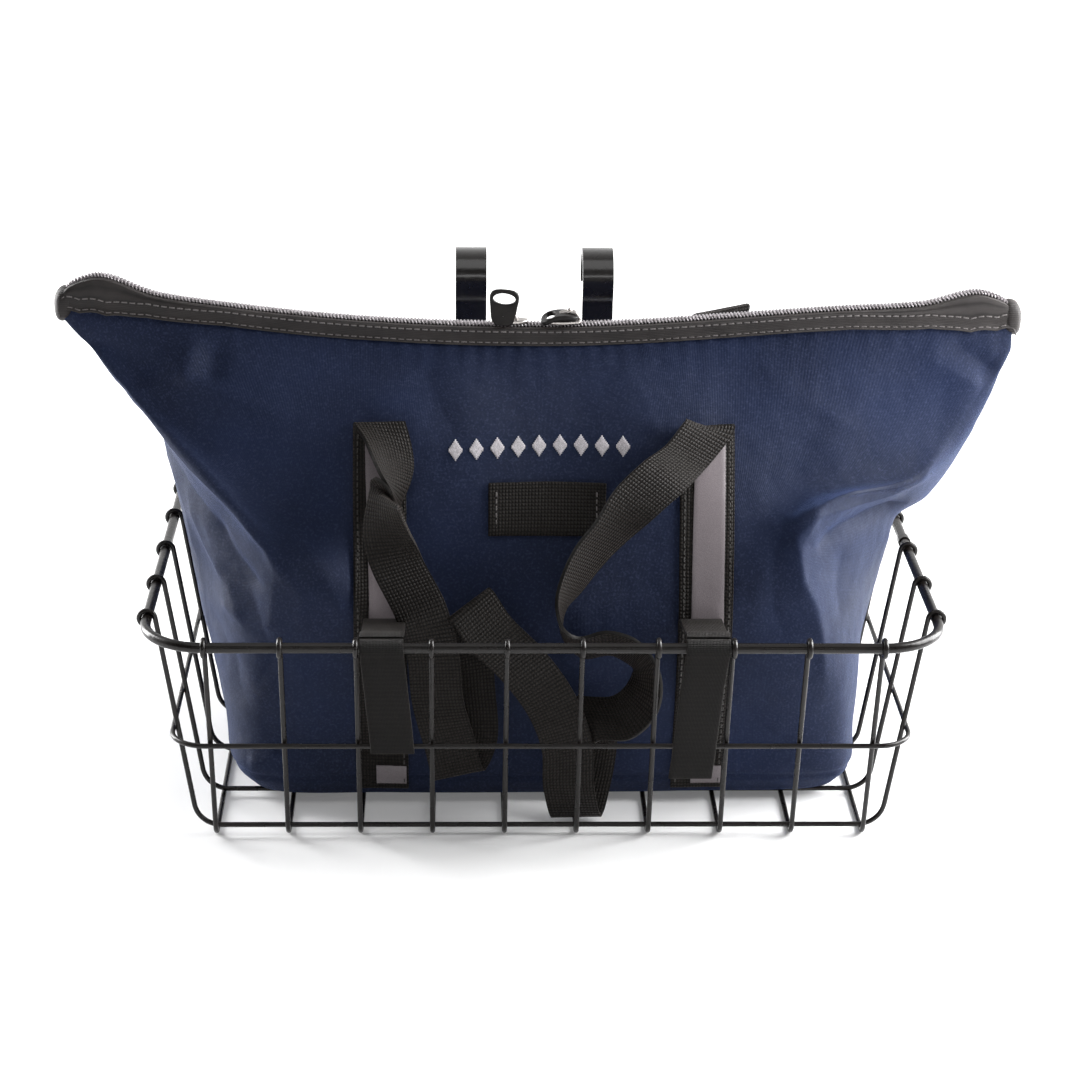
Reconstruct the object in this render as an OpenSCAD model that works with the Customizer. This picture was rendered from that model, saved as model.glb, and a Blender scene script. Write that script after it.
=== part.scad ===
// Handlebar basket: a shallow welded-wire basket that hangs from the handlebar
// by two flat hooks, with a zipped tote bag standing in it.
// X runs along the handlebar, Y from the front to the rider, Z up.
// The origin is under the middle of the whole thing, on the surface it stands on.

/* [Basket] */
// Length of the rim along the handlebar, between wire centres
rim_length = 376; // [372:1:390]
// Depth of the rim from front to rear, between wire centres
rim_depth = 249; // [246:1:260]
// Height of the rim wire's centre
rim_height = 115; // [110:1:122]
// Thickness of the rim wire
rim_wire_d = 5; // [4:0.1:6]
// Thickness of every other wire
wire_d = 2.5; // [2:0.1:2.8]
// Corner radius of the rim
rim_corner_r = 30; // [24:1:31]
// Number of wires that run from front to rear
long_wires = 10; // [10:1:10]
// Spacing of the wires that run from front to rear
long_pitch = 35.2; // [34:0.1:35.2]
// Spacing of the five wires that run from side to side
cross_pitch = 46; // [44:0.5:46]
// Lean of the front and rear walls from upright, in degrees
front_lean = 14.4; // [13:0.1:15]
// Lean of the side walls from upright, in degrees
side_lean = 8.9; // [8:0.1:9.5]
// Height of the middle ring
ring_height = 57.1; // [54:0.1:60]
// Corner radius of the middle ring
ring_corner_r = 17; // [12:1:17]

/* [Handlebar hooks] */
// Distance between the middles of the two hooks
hook_spacing = 68; // [66:1:70]
// Width of a hook's flat strap
hook_w = 16.5; // [14:0.5:18]
// Thickness of the strap
hook_t = 3; // [2.5:0.1:3.2]
// Inside radius of the bend that sits on the handlebar
bar_r = 12.9; // [12:0.1:13.5]
// Height of the handlebar's centre
bar_height = 219; // [205:1:235]

/* [Bag] */
// Half width of the bag's base
base_x = 152; // [146:1:152]
// Half depth of the bag's base
base_y = 68; // [60:1:68]
// Distance from the basket's middle back to the bag's middle
bag_back = 18; // [17:1:19]
// Height of the closed zip at its middle
zip_height = 230; // [226:1:234]
// Half length of the bag's flat top, to the tip of an ear
ear_x = 238.5; // [236:0.5:242]
// Thickness of the padded cloth
cloth_t = 2; // [1.5:0.1:2.5]
// Middle of each vertical band, from the bag's middle
band_x = 79.5; // [78:0.5:81]
// Width of each vertical band
band_w = 27; // [24:1:28]

/* [Hidden] */
LONG = [for (i = [1:long_wires]) str("long_wire_", i)];
CROSS = [for (i = [1:5]) str("cross_wire_", i)];
BAG = ["bag_front_panel", "bag_rear_panel", "base_board", "zip_tape_front", "zip_tape_rear",
    "zip_coil_front", "zip_coil_rear", "zip_end_tabs", "front_band_left", "front_band_right",
    "rear_band_left", "rear_band_right", "front_reflector_left", "front_reflector_right",
    "rear_reflector_left", "rear_reflector_right", "light_patch", "front_handle",
    "rear_handle", "strap_bridge_left", "strap_bridge_right"];
MOVING = ["rim_strap_left", "rim_strap_right", "slider_left", "slider_right",
    "pull_link_left", "pull_link_right", "pull_tab_left", "pull_tab_right"];

$fn = 48;
far = 500;            // reaches past every part
gap = 0.05;           // between wires that are welded to each other
hair = 0.01;          // by which a bend is thinner than what it joins
lap = 0.15;           // by which a bend runs into what it joins
rim_r = rim_wire_d / 2;
wire_r = wire_d / 2;
hook_ring = rim_r + wire_r + gap;      // radius of a wire's curl over the rim
curl = 255;                            // how far a wire curls round the rim, in degrees
long_bend = 8;                         // bend radius where a long wire meets the floor
cross_bend = 13;                       // the same on a cross wire
floor_z = wire_r;                      // centre height of the long wires' floor
cross_z = floor_z + wire_d + gap;      // centre height of the cross wires on top of them
weld_y = 14;                           // where the rim's butt weld is, from its middle
weld_l = 5;
weld_bead = 0.7;                       // how far the weld stands out of the rim
outer_in = 2.9;                        // how far the outer cross wires are set in
outer_up = 1.75;                       // and how much higher they lie

// Hook: a bend over the bar, a reverse bend under it, then down behind the rear wall
bar_ring = bar_r + hook_t / 2;         // radius of the strap's centre line over the bar
neck_r = 8;
neck_turn = 35;
tip_turn = 25;                         // how far the tip closes past the rear of the bar
tail_lean = 16.8;
tail_length = 66;
hook_y = rim_depth / 2 + rim_r + gap + hook_t / 2;
bar_y = hook_y - neck_r * (1 - cos(neck_turn)) + bar_ring * cos(neck_turn);
neck_z = bar_height - (bar_ring + neck_r) * sin(neck_turn);
clip_steps = [9.5, 50];                // down the strap, from the rim to each screw
clip_depths = [5.1, 3.4];              // from the rim's centre plane in to each plate
screw_r = 1.95;
hole_r = 2.1;

// Everything is drawn round the basket's middle, then moved to the origin.
front_reach = rim_depth / 2 + hook_ring + wire_r;
rear_reach = bar_y + bar_ring + hook_t / 2;
module placed() { translate([0, (front_reach - rear_reach) / 2, 0]) children(); }

steel = "#1b1716";
navy = "#232f55";
webbing = "#1c1815";
grey = "#8f868b";
nickel = "#a9a7a5";

// ---- Wire ----

// Straight round wire from p to q
module rod(p, q, r) {
    v = q - p;
    translate(p) rotate([0, acos(v[2] / norm(v)), atan2(v[1], v[0])])
        cylinder(h = norm(v), r = r);
}

// Bent round wire in the XZ plane, about the point c. It is a hair thinner than the
// straight wire and runs a little way into it, so that the two join in one solid.
module bend(c, ring_r, from, turn, r) {
    over = asin(lap / ring_r);
    translate(c) rotate([90, 0, 0]) rotate([0, 0, from - over])
        rotate_extrude(angle = turn + 2 * over) translate([ring_r, 0]) circle(r - hair);
}

// Wire that hangs in the basket: floor, and at each end a bend, a wall and a curl over the rim
module hung_wire(span, lean, z, bend_r) {
    rim = [span, 0, rim_height];
    top = rim + hook_ring * [-cos(lean), 0, sin(lean)];
    corner_x = top[0] - (top[2] - z) * tan(lean);
    flat_x = corner_x - bend_r * tan((90 - lean) / 2);
    elbow = [flat_x, 0, z + bend_r];
    rod([-flat_x, 0, z], [flat_x, 0, z], wire_r);
    for (side = [0, 1]) mirror([side, 0, 0]) {
        bend(elbow, bend_r, -90, 90 - lean, wire_r);
        rod(elbow + bend_r * [cos(lean), 0, -sin(lean)], top, wire_r);
        bend(rim, hook_ring, 180 - lean - curl, curl, wire_r);
    }
}

// Closed ring of wire with round corners
module ring(half_x, half_y, corner_r, z, r) {
    over = asin(lap / corner_r);
    for (sx = [-1, 1], sy = [-1, 1])
        translate([sx * (half_x - corner_r), sy * (half_y - corner_r), z])
            rotate([0, 0, 45 * (2 - sx) * sy - 45])
                rotate([0, 0, -over]) rotate_extrude(angle = 90 + 2 * over)
                    translate([corner_r, 0]) circle(r - hair);
    for (s = [-1, 1]) {
        rod([-(half_x - corner_r), s * half_y, z], [half_x - corner_r, s * half_y, z], r);
        rod([s * half_x, -(half_y - corner_r), z], [s * half_x, half_y - corner_r, z], r);
    }
}

module top_rim() placed() color(steel) {
    ring(rim_length / 2, rim_depth / 2, rim_corner_r, rim_height, rim_r);
    rod([rim_length / 2, weld_y - weld_l / 2, rim_height],
        [rim_length / 2, weld_y + weld_l / 2, rim_height], rim_r + weld_bead);
}

// The ring lies against the outside of the walls.
module middle_ring() placed() color(steel) {
    drop = rim_height - ring_height;
    wall = function (lean) -hook_ring / cos(lean) - drop * tan(lean) + (wire_d + gap) / cos(lean);
    ring(rim_length / 2 + wall(side_lean), rim_depth / 2 + wall(front_lean), ring_corner_r,
        ring_height, wire_r);
}

module long_wire(i) placed() color(steel)
    translate([(i - (long_wires + 1) / 2) * long_pitch, 0, 0]) rotate([0, 0, 90])
        hung_wire(rim_depth / 2, front_lean, floor_z, long_bend);

// The outer two cross wires lie in the bends of the long wires, a little higher.
module cross_wire(i) placed() color(steel) {
    outer = abs(i - 3) == 2;
    translate([0, (i - 3) * cross_pitch - (outer ? sign(i - 3) * outer_in : 0), 0])
        hung_wire(rim_length / 2, side_lean, cross_z + (outer ? outer_up : 0), cross_bend);
}

// ---- Handlebar hooks ----

// Part of a strap bent in the YZ plane about the point c, with its centre line at ring_r
module strap_arc(c, ring_r, from, turn, w, t) {
    translate([0, c[0], c[1]]) rotate([90, 0, 90]) rotate([0, 0, from])
        rotate_extrude(angle = turn, $fn = 96)
            translate([ring_r - t / 2, -w / 2]) square([t, w]);
}

// The same where it joins two other parts of the strap
module strap_joint(c, ring_r, from, turn, w, t) {
    over = asin(lap / ring_r);
    strap_arc(c, ring_r, from - over, turn + 2 * over, w - 2 * hair, t - 2 * hair);
}

// Frame of the strap's leaning tail: X sideways, Y outward, Z up along the strap
module on_tail() {
    translate([0, rim_depth / 2, rim_height]) rotate([-tail_lean, 0, 0]) children();
}

module hook(side) placed() color(steel) translate([side * hook_spacing / 2, 0, 0]) {
    neck = [hook_y - neck_r, neck_z];
    strap_arc([bar_y, bar_height], bar_ring, -tip_turn, 180 + neck_turn + tip_turn, hook_w, hook_t);
    strap_joint(neck, neck_r, 0, neck_turn, hook_w, hook_t);
    translate([-hook_w / 2, hook_y - hook_t / 2, rim_height])
        cube([hook_w, hook_t, neck_z - rim_height]);
    strap_joint([rim_depth / 2, rim_height], rim_r + gap + hook_t / 2, -tail_lean, tail_lean,
        hook_w, hook_t);
    on_tail() difference() {
        translate([-hook_w / 2, rim_r + gap, -tail_length]) cube([hook_w, hook_t, tail_length]);
        for (step = clip_steps) translate([0, 0, -step]) rotate([-90, 0, 0])
            cylinder(h = far, r = hole_r);
    }
}

// Places children at each screw, with Z pointing out through the strap
module at_clips() placed()
    for (side = [-1, 1], i = [0, 1])
        translate([side * hook_spacing / 2, 0, 0]) on_tail()
            translate([0, 0, -clip_steps[i]]) rotate([-90, 0, 0])
                translate([0, 0, -clip_depths[i]]) {
                    $plate_out = clip_depths[i];
                    children();
                }

clip_w = 46;
clip_h = 12;
clip_t = 2;
screw_end = 5;         // how far a screw stands out of the strap
screw_head_h = 2.2;
screw_head_r = 4;
screw_tip_r = 2.6;     // radius of the head's outer face
nut_h = 3.2;
nut_r = 4.04;
module clip_plates() color(steel) at_clips() difference() {
    hull() for (s = [-1, 1]) translate([s * (clip_w - clip_h) / 2, 0, -clip_t])
        cylinder(h = clip_t, d = clip_h, $fn = 32);
    translate([0, 0, -far / 2]) cylinder(h = far, r = hole_r);
}

module clip_screws() color(nickel) at_clips() {
    seat = clip_t + gap;
    shank = seat + lap;
    translate([0, 0, -shank])
        cylinder(h = shank + $plate_out + rim_r + hook_t + screw_end, r = screw_r);
    translate([0, 0, -seat - screw_head_h])
        cylinder(h = screw_head_h, r1 = screw_tip_r, r2 = screw_head_r);
}

module clip_nuts() color(nickel) at_clips()
    translate([0, 0, $plate_out + rim_r + hook_t + 2 * gap]) difference() {
        cylinder(h = nut_h, r = nut_r, $fn = 6);
        translate([0, 0, -1]) cylinder(h = nut_h + 2, r = screw_r + gap);
    }

// ---- Bag ----

base_z = 5.4;          // underside of the bag, just above the cross wires
slab_h = 2;
base_cut = 12;               // how much is cut off each corner of the base
belly_cut = 25;
shoulder_cut = 14;
edge_l = 0.2;                // size of the top edge's corners
edge_h = 0.4;
belly = [162, 78, 90];       // half width, half depth and height of the fullest part
shoulder = [194, 32, 187];   // the same where the sides fold out into the ears
top_half = 3.9;              // half thickness of the pressed-together top
tape_drop = 14;              // from the zip down to the tape's lower edge
cloth_drop = 17;             // from the zip down to the cloth's top edge
ear_drop = 23;               // the same at the top of an ear

// The zip's line: straight halves that rise to the sides, then the ears
ZIP = [[0, 0], [150, 9], [190, 14], [ear_x - 16.5, 22], [ear_x - 4.5, 16], [ear_x, 4]];
zip_rise = atan2(ZIP[1][1], ZIP[1][0]);

module slab(x, y, cut, z) {
    translate([0, bag_back, z]) linear_extrude(slab_h) polygon([
        [x - cut, -y], [x, -y + cut], [x, y - cut], [x - cut, y],
        [-x + cut, y], [-x, y - cut], [-x, -y + cut], [-x + cut, -y]]);
}

// Half of the flat top on one side, from the middle out to the ear
module top_wedge(side, inset) {
    half = top_half - 0.8 * inset;
    for (i = [0, 3, 5])
        translate([side * max(ZIP[i][0] - inset, 0), bag_back - half,
                zip_height + ZIP[i][1] - (i == 3 ? ear_drop : cloth_drop) - inset])
            cube([edge_l, 2 * half, edge_h]);
}

// The bag's outer form, or its inside when inset by the cloth
module bag_form(inset) {
    hull() {
        slab(base_x - inset, base_y - inset, base_cut, base_z + inset);
        slab(belly[0] - inset, belly[1] - inset, belly_cut, belly[2] - slab_h / 2);
        slab(shoulder[0] - inset, shoulder[1] - inset, shoulder_cut, shoulder[2] - slab_h / 2);
    }
    for (side = [-1, 1]) hull() {
        intersection() {
            slab(shoulder[0] - inset, shoulder[1] - inset, shoulder_cut, shoulder[2] - slab_h / 2);
            translate([(side - 1) * far / 2, -far / 2, 0]) cube(far);
        }
        top_wedge(side, inset);
    }
}

// Front (-1) or rear (1) half of the bag's cloth, sewn together at the sides
module bag_panel(side) placed() color(navy) difference() {
    bag_form(0);
    bag_form(cloth_t);
    translate([0, bag_back - side * (far - gap), 0]) cube(2 * far, center = true);
}

board_in = [13, 11];         // from the bag's base to the board's edges
board_t = 3;
module base_board() placed() color("#3a3a3c")
    translate([0, bag_back, base_z + cloth_t + 0.3]) linear_extrude(board_t) difference() {
        square(2 * ([base_x, base_y] - board_in), center = true);
        for (sx = [-1, 1], sy = [-1, 1])
            translate([sx * (base_x - board_in[0]), sy * (base_y - board_in[1])])
                rotate(45) square(base_cut, center = true);
    }

// How far the bag's front stands out from its middle at a height
function stand_out(z) = lookup(z, [
    [base_z, base_y],
    [belly[2] - slab_h / 2, belly[1]], [belly[2] + slab_h / 2, belly[1]],
    [shoulder[2] + slab_h / 2, shoulder[1]], [zip_height - tape_drop, top_half]]);

// Flat strip that lies on the bag's front (-1) or rear (1), from z0 up to z1
module strip(side, x, w, z0, z1, off, t) {
    bends = [for (end = [-1, 1]) let (z = belly[2] + end * slab_h / 2) if (z > z0 && z < z1) z];
    heights = concat([z0], bends, [z1]);
    outline = concat(
        [for (z = heights) [stand_out(z) + off, z]],
        [for (i = [len(heights) - 1:-1:0]) [stand_out(heights[i]) + off + t, heights[i]]]);
    placed() translate([x - w / 2, bag_back, 0]) mirror([0, side > 0 ? 0 : 1, 0])
        rotate([90, 0, 90]) linear_extrude(w) polygon(outline);
}

strip_off = 0.4;
band_t = 1.2;
band_top = 184;
module band(side, x) color(webbing) strip(side, x, band_w, base_z + 4, band_top, strip_off, band_t);

// Reflective tape: a long piece on the band and a short one near its foot
reflector_z = [97, 178];
reflector_w = 17;
foot_z = [11, 20];
foot_w = 14.5;
foot_x = 5;                  // from the band's middle
tape_off = strip_off + band_t + 0.1;
tape_t = 0.5;
module reflector(side, x) color(grey) {
    strip(side, x, reflector_w, reflector_z[0], reflector_z[1], tape_off, tape_t);
    strip(side, x + foot_x, foot_w, foot_z[0], foot_z[1], tape_off, tape_t);
}

// Loop of webbing that a clip-on light hooks into
patch_z = [137, 164];
patch_x = 2;
patch_w = 57;
module light_patch() color(webbing)
    strip(-1, patch_x, patch_w, patch_z[0], patch_z[1], strip_off, band_t);

// The zip in three lengths: the straight middle that the sliders run on, then each ear
function zip_lengths() = concat([[[-ZIP[1][0], ZIP[1][1]], ZIP[0], ZIP[1]]],
    [for (side = [-1, 1]) [for (i = [1:len(ZIP) - 1])
        [side * (ZIP[i][0] + (i == 1 ? gap : 0)), ZIP[i][1]]]]);

// Band of the shape's height that follows the zip, from drop_low up to drop_high below it
module along_zip(drop_high, drop_low, y0, y1) {
    for (line = zip_lengths())
        placed() translate([0, bag_back + y1, zip_height]) rotate([90, 0, 0])
            linear_extrude(y1 - y0) polygon(concat(
                [for (p = line) p - [0, drop_high]],
                [for (i = [len(line) - 1:-1:0]) line[i] - [0, drop_low]]));
}

coil_in = 1.1;         // from the zip's middle to each coil
coil_out = 3.9;
coil_h = 2.6;
skirt_t = 0.7;
skirt_in = 4.4;
module zip_coil(side) color(nickel)
    along_zip(0, coil_h, min(side * coil_in, side * coil_out), max(side * coil_in, side * coil_out));

// Tape under the coil, folded down over the top edge of the cloth
module zip_tape(side) color(webbing) {
    fold = skirt_in + 1;
    middle = skirt_in + 0.5;
    top = coil_h + gap;
    along_zip(top, top + skirt_t, min(side * coil_in, side * middle),
        max(side * coil_in, side * middle));
    along_zip(top - 0.3, tape_drop, min(side * skirt_in, side * fold),
        max(side * skirt_in, side * fold));
}

// Cloth tabs that close off the zip's two ends
end_tab = [4, 6.8, 9];
module zip_end_tabs() color(webbing) placed() for (s = [-1, 1])
    translate([s * (ear_x - 2.6), bag_back, zip_height - 4]) cube(end_tab, center = true);

// Webbing drawn through stations [x, y, z, roll]: roll turns its width out of level
module ribbon(stations, w, t) {
    for (i = [0:len(stations) - 2]) hull() for (s = [stations[i], stations[i + 1]])
        translate([s[0], s[1], s[2]]) rotate([0, s[3], 0]) cube([w, t, t], center = true);
}

// The front handle lies slack between the bag and the basket's front wall.
FRONT_HANDLE = [[-77, -21, 190, 0], [-72, -46, 160, -10], [-61, -66, 134, -20],
    [-51, -76, 110, -30], [-36, -80, 84, -35], [-18, -80, 58, -35], [6, -76, 34, -25],
    [17, -74, 8, 0], [20, -82, 36, 10], [34, -86, 62, 25], [44, -88, 84, 15],
    [28, -86, 102, -40], [18, -80, 118, -10], [26, -70, 140, 30], [48, -48, 168, 42],
    [74, -24, 190, 20]];
handle_w = 24;
handle_t = 1.8;
module front_handle() color(webbing) placed() ribbon(FRONT_HANDLE, handle_w, handle_t);

// The rear handle folds over above its bands and hangs down behind the bag.
REAR_HANDLE = [[-79, 56, 190, 0], [-80, 64, 214, 0], [-78, 74, 220, 0], [-75, 83, 208, -8],
    [-64, 93, 172, -22], [-44, 98, 136, -45], [-18, 99, 116, -75], [18, 99, 116, 75],
    [44, 98, 136, 45], [64, 93, 172, 22], [75, 83, 208, 8], [78, 74, 220, 0],
    [80, 64, 214, 0], [79, 56, 190, 0]];
module rear_handle() color(webbing) placed() ribbon(REAR_HANDLE, handle_w, handle_t);

// ---- Straps that tie the bag to the rim ----

tie_x = 76;
tie_w = 20;
tie_t = 1.2;
tie_ring = rim_r + 0.5 + tie_t / 2;    // radius of the strap's centre line over the rim
tie_gap = 1.2;                         // between the two pieces of a strap, on top of the rim
tie_root_z = 104;
tie_root_off = 3.3;                    // from the bag's front out to the bridge's root

// From the bag's band to just short of the rim
module strap_bridge(side) color(webbing) placed() translate([side * tie_x, 0, 0]) {
    root_y = bag_back - stand_out(tie_root_z) - tie_root_off;
    hull() {
        translate([0, root_y, tie_root_z]) cube([tie_w, tie_t, tie_t], center = true);
        translate([0, tie_gap - rim_depth / 2, rim_height + tie_ring])
            cube([tie_w, tie_t, tie_t], center = true);
    }
}

// Over the rim and down its outside, as one piece that lifts off
left_drop = 50;                        // from the rim down to the end of each strap
right_drop = 66;
strap_wrap = 82;                       // how far the strap bends round the rim, in degrees
module rim_strap(side, drop) color(webbing) placed() translate([side * tie_x, 0, 0]) {
    strap_arc([-rim_depth / 2, rim_height], tie_ring, 180 - strap_wrap, strap_wrap, tie_w, tie_t);
    translate([-tie_w / 2, -rim_depth / 2 - tie_ring - tie_t / 2, rim_height - drop])
        cube([tie_w, tie_t, drop]);
}

// ---- Zip sliders and pulls ----

slider_x = 6.5;        // from the zip's middle to the slider's nose
slider_l = 18;
slider_w = 12;
pivot_x = 19;          // from the zip's middle to the pull's pivot
pivot_z = 4.2;         // above the zip

// Frame of one straight half of the zip: X runs outward and up along it
module on_zip(side) placed() translate([0, bag_back, zip_height]) mirror([side > 0 ? 0 : 1, 0, 0])
    rotate([0, -zip_rise, 0]) children();

// Two plates joined by a post between the coils, with a bail for the pull
cap_h = 4.2;           // height of the cap that straddles both coils
cap_low = -2;
sole_z = -5.4;         // underside of the plate below the coils
sole_w = 6.8;
sole_t = 1.6;
post_w = 1.5;
post_l = 3.5;
bail_r = 4.2;
bail_wire_r = 0.8;
module slider(side) color(nickel) on_zip(side) {
    difference() {
        translate([slider_x, -slider_w / 2, cap_low]) cube([slider_l, slider_w, cap_h]);
        translate([0, -coil_out - 0.5, cap_low - 1]) cube([far, 2 * coil_out + 1, 3.5]);
    }
    translate([slider_x + 1, -sole_w / 2, sole_z]) cube([slider_l - 2, sole_w, sole_t]);
    translate([slider_x + 1.5, -post_w / 2, -5]) cube([post_l, post_w, 6]);
    bend([pivot_x, 0, cap_low + cap_h], bail_r, 0, 180, bail_wire_r);
}

// Crossbar under the bail, with an arm on each side that holds the tab
link_reach = 7;
link_half = 3.4;       // half the length of each crossbar
link_wire_r = 0.6;
arm_y = 2.6;
arm_r = 0.7;
module pull_link(side, up) color(nickel) on_zip(side)
    translate([pivot_x, 0, pivot_z]) rotate([0, up, 0]) {
        for (z = [0, link_reach]) rod([0, -link_half, z], [0, link_half, z], link_wire_r);
        for (s = [-1, 1]) rod([0, s * arm_y, -1], [0, s * arm_y, link_reach + 1], arm_r);
    }

// Moulded finger tab with an oval eye at its end; twist turns it on its link
tab_w = 14.5;
tab_foot = 11.6;
tab_l = 17;
tab_t = 2.4;
tab_root = link_reach + 1.1;           // from the pivot to the tab's foot
eye_r = 2.9;
eye_wide = 1.9;                        // how much wider than tall the eye is
eye_in = 5;                            // from the tab's end to the eye's middle
end_cut = [1.8, 4.5];                  // how much is cut off the end's two corners
module pull_tab(side, up, twist) color("#15130f") on_zip(side)
    translate([pivot_x, 0, pivot_z]) rotate([0, up, 0]) rotate([0, 0, twist])
        translate([0, tab_t / 2, tab_root]) rotate([90, 0, 0]) linear_extrude(tab_t)
            difference() {
                polygon([[-tab_foot / 2, 0], [tab_foot / 2, 0],
                    [tab_w / 2, tab_l - end_cut[1]], [tab_w / 2 - end_cut[0], tab_l],
                    [end_cut[0] - tab_w / 2, tab_l], [-tab_w / 2, tab_l - end_cut[1]]]);
                translate([0, tab_l - eye_in]) scale([eye_wide, 1]) circle(eye_r);
            }

for (i = [1:long_wires]) long_wire(i);
for (i = [1:5]) cross_wire(i);
top_rim();
middle_ring();
hook(-1);  // hook_left
hook(1);  // hook_right
clip_plates();
clip_screws();
clip_nuts();
bag_panel(-1);  // bag_front_panel
bag_panel(1);  // bag_rear_panel
base_board();
zip_tape(-1);  // zip_tape_front
zip_tape(1);  // zip_tape_rear
zip_coil(-1);  // zip_coil_front
zip_coil(1);  // zip_coil_rear
zip_end_tabs();
band(-1, -band_x);  // front_band_left
band(-1, band_x);  // front_band_right
band(1, -band_x);  // rear_band_left
band(1, band_x);  // rear_band_right
reflector(-1, -band_x);  // front_reflector_left
reflector(-1, band_x);  // front_reflector_right
reflector(1, -band_x);  // rear_reflector_left
reflector(1, band_x);  // rear_reflector_right
light_patch();
front_handle();
rear_handle();
strap_bridge(-1);  // strap_bridge_left
strap_bridge(1);  // strap_bridge_right
rim_strap(-1, left_drop);  // rim_strap_left
rim_strap(1, right_drop);  // rim_strap_right
slider(-1);  // slider_left
slider(1);  // slider_right
pull_link(-1, 0);  // pull_link_left
pull_link(1, -84);  // pull_link_right
pull_tab(-1, 0, 0);  // pull_tab_left
pull_tab(1, -84, 90);  // pull_tab_right
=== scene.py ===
"""Looks of the handlebar basket and its bag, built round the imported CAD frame.

Lengths in the tables below are millimetres from the middle of the basket's rim, with Z up from
the floor; at() turns them into metres in the row frame.
"""

import math

import bpy
import numpy as np
from mathutils import Matrix, Vector, noise
from mathutils.bvhtree import BVHTree

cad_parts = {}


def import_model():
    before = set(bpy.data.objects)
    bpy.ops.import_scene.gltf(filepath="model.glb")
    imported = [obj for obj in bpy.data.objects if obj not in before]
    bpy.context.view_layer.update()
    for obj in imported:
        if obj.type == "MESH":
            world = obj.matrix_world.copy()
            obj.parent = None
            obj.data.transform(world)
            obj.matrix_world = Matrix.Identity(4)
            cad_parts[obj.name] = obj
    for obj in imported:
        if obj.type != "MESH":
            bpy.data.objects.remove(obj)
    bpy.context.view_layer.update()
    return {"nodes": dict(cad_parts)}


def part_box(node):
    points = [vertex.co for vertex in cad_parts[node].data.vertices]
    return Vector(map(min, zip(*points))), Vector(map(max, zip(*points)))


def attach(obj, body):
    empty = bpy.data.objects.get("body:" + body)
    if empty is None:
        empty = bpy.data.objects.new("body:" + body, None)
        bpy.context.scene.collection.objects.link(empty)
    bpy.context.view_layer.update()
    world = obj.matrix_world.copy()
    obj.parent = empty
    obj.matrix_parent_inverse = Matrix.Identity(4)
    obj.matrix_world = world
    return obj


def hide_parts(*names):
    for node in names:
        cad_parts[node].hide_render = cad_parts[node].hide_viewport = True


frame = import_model()

MM = 0.001
RIM_LOW, RIM_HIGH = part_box("top_rim")
BASKET_Y = (RIM_LOW.y + RIM_HIGH.y) / 2
BAG_Y = (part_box("zip_coil_front")[0].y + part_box("zip_coil_rear")[1].y) / 2 / MM - BASKET_Y / MM


def at(points):
    """Points or a grid of points in mm from the basket's middle, as metres in the row frame"""
    return np.asarray(points, float) * MM + np.array([0, BASKET_Y, 0])


# ---- Curves and meshes ----

def curve_through(knots, values, where, crease=None):
    """Smooth curve through values at the knots, read at each of where.

    crease gives each knot a share from 0, smooth, to 1, a sharp corner."""
    knots = np.asarray(knots, float)
    values = np.asarray(values, float).reshape(len(knots), -1)
    where = np.asarray(where, float)
    step = np.diff(knots)[:, None]
    slope = np.diff(values, axis=0) / step
    middle = (slope[:-1] * step[1:] + slope[1:] * step[:-1]) / (step[:-1] + step[1:])
    even = np.vstack([slope[:1], middle, slope[-1:]])
    sharp = np.zeros(len(knots)) if crease is None else np.asarray(crease, float)
    sharp = sharp[:, None]
    leaving = even + sharp * (np.vstack([slope, slope[-1:]]) - even)
    coming = even + sharp * (np.vstack([slope[:1], slope]) - even)
    i = np.clip(np.searchsorted(knots, where, side="right") - 1, 0, len(knots) - 2)
    h = (knots[i + 1] - knots[i])[:, None]
    u = ((where - knots[i]) / h[:, 0])[:, None]
    return ((1 + 2 * u) * (1 - u) ** 2 * values[i] + u * (1 - u) ** 2 * h * leaving[i]
            + u * u * (3 - 2 * u) * values[i + 1] + u * u * (u - 1) * h * coming[i + 1])


def along(points):
    """Distance along a line of points, from its first"""
    points = np.asarray(points, float)
    return np.concatenate([[0], np.cumsum(np.linalg.norm(np.diff(points, axis=0), axis=1))])


def mesh_piece(name, verts, faces, material, uvs=None, smooth=True):
    """Mesh object; uvs gives each vertex a place on the cloth, in metres"""
    mesh = bpy.data.meshes.new(name)
    mesh.from_pydata([tuple(v) for v in verts], [], [tuple(int(i) for i in f) for f in faces])
    mesh.materials.append(material)
    if uvs is not None:
        layer = mesh.uv_layers.new(name="cloth")
        corner = np.zeros(len(mesh.loops), np.int32)
        mesh.loops.foreach_get("vertex_index", corner)
        layer.data.foreach_set("uv", np.asarray(uvs, np.float32)[corner].ravel())
    mesh.polygons.foreach_set("use_smooth", [smooth] * len(mesh.polygons))
    mesh.update()
    piece = bpy.data.objects.new(name, mesh)
    bpy.context.scene.collection.objects.link(piece)
    return piece


def finished(piece, body, slot, *replaced):
    """A piece rides on its body and stands for CAD nodes, which it hides; slot is not used"""
    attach(piece, body)
    if replaced:
        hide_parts(*replaced)
    return piece


def grid_faces(rows, columns, closed=False, start=0, flip=False):
    """Quads of a grid of vertices, row after row; closed joins the last column to the first"""
    across = columns if closed else columns - 1
    i, j = np.meshgrid(np.arange(rows - 1), np.arange(across), indexing="ij")
    k = (j + 1) % columns
    quads = np.stack([i * columns + j, i * columns + k, (i + 1) * columns + k,
                      (i + 1) * columns + j], axis=-1).reshape(-1, 4) + start
    return [tuple(quad[::-1] if flip else quad) for quad in quads.tolist()]


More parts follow.
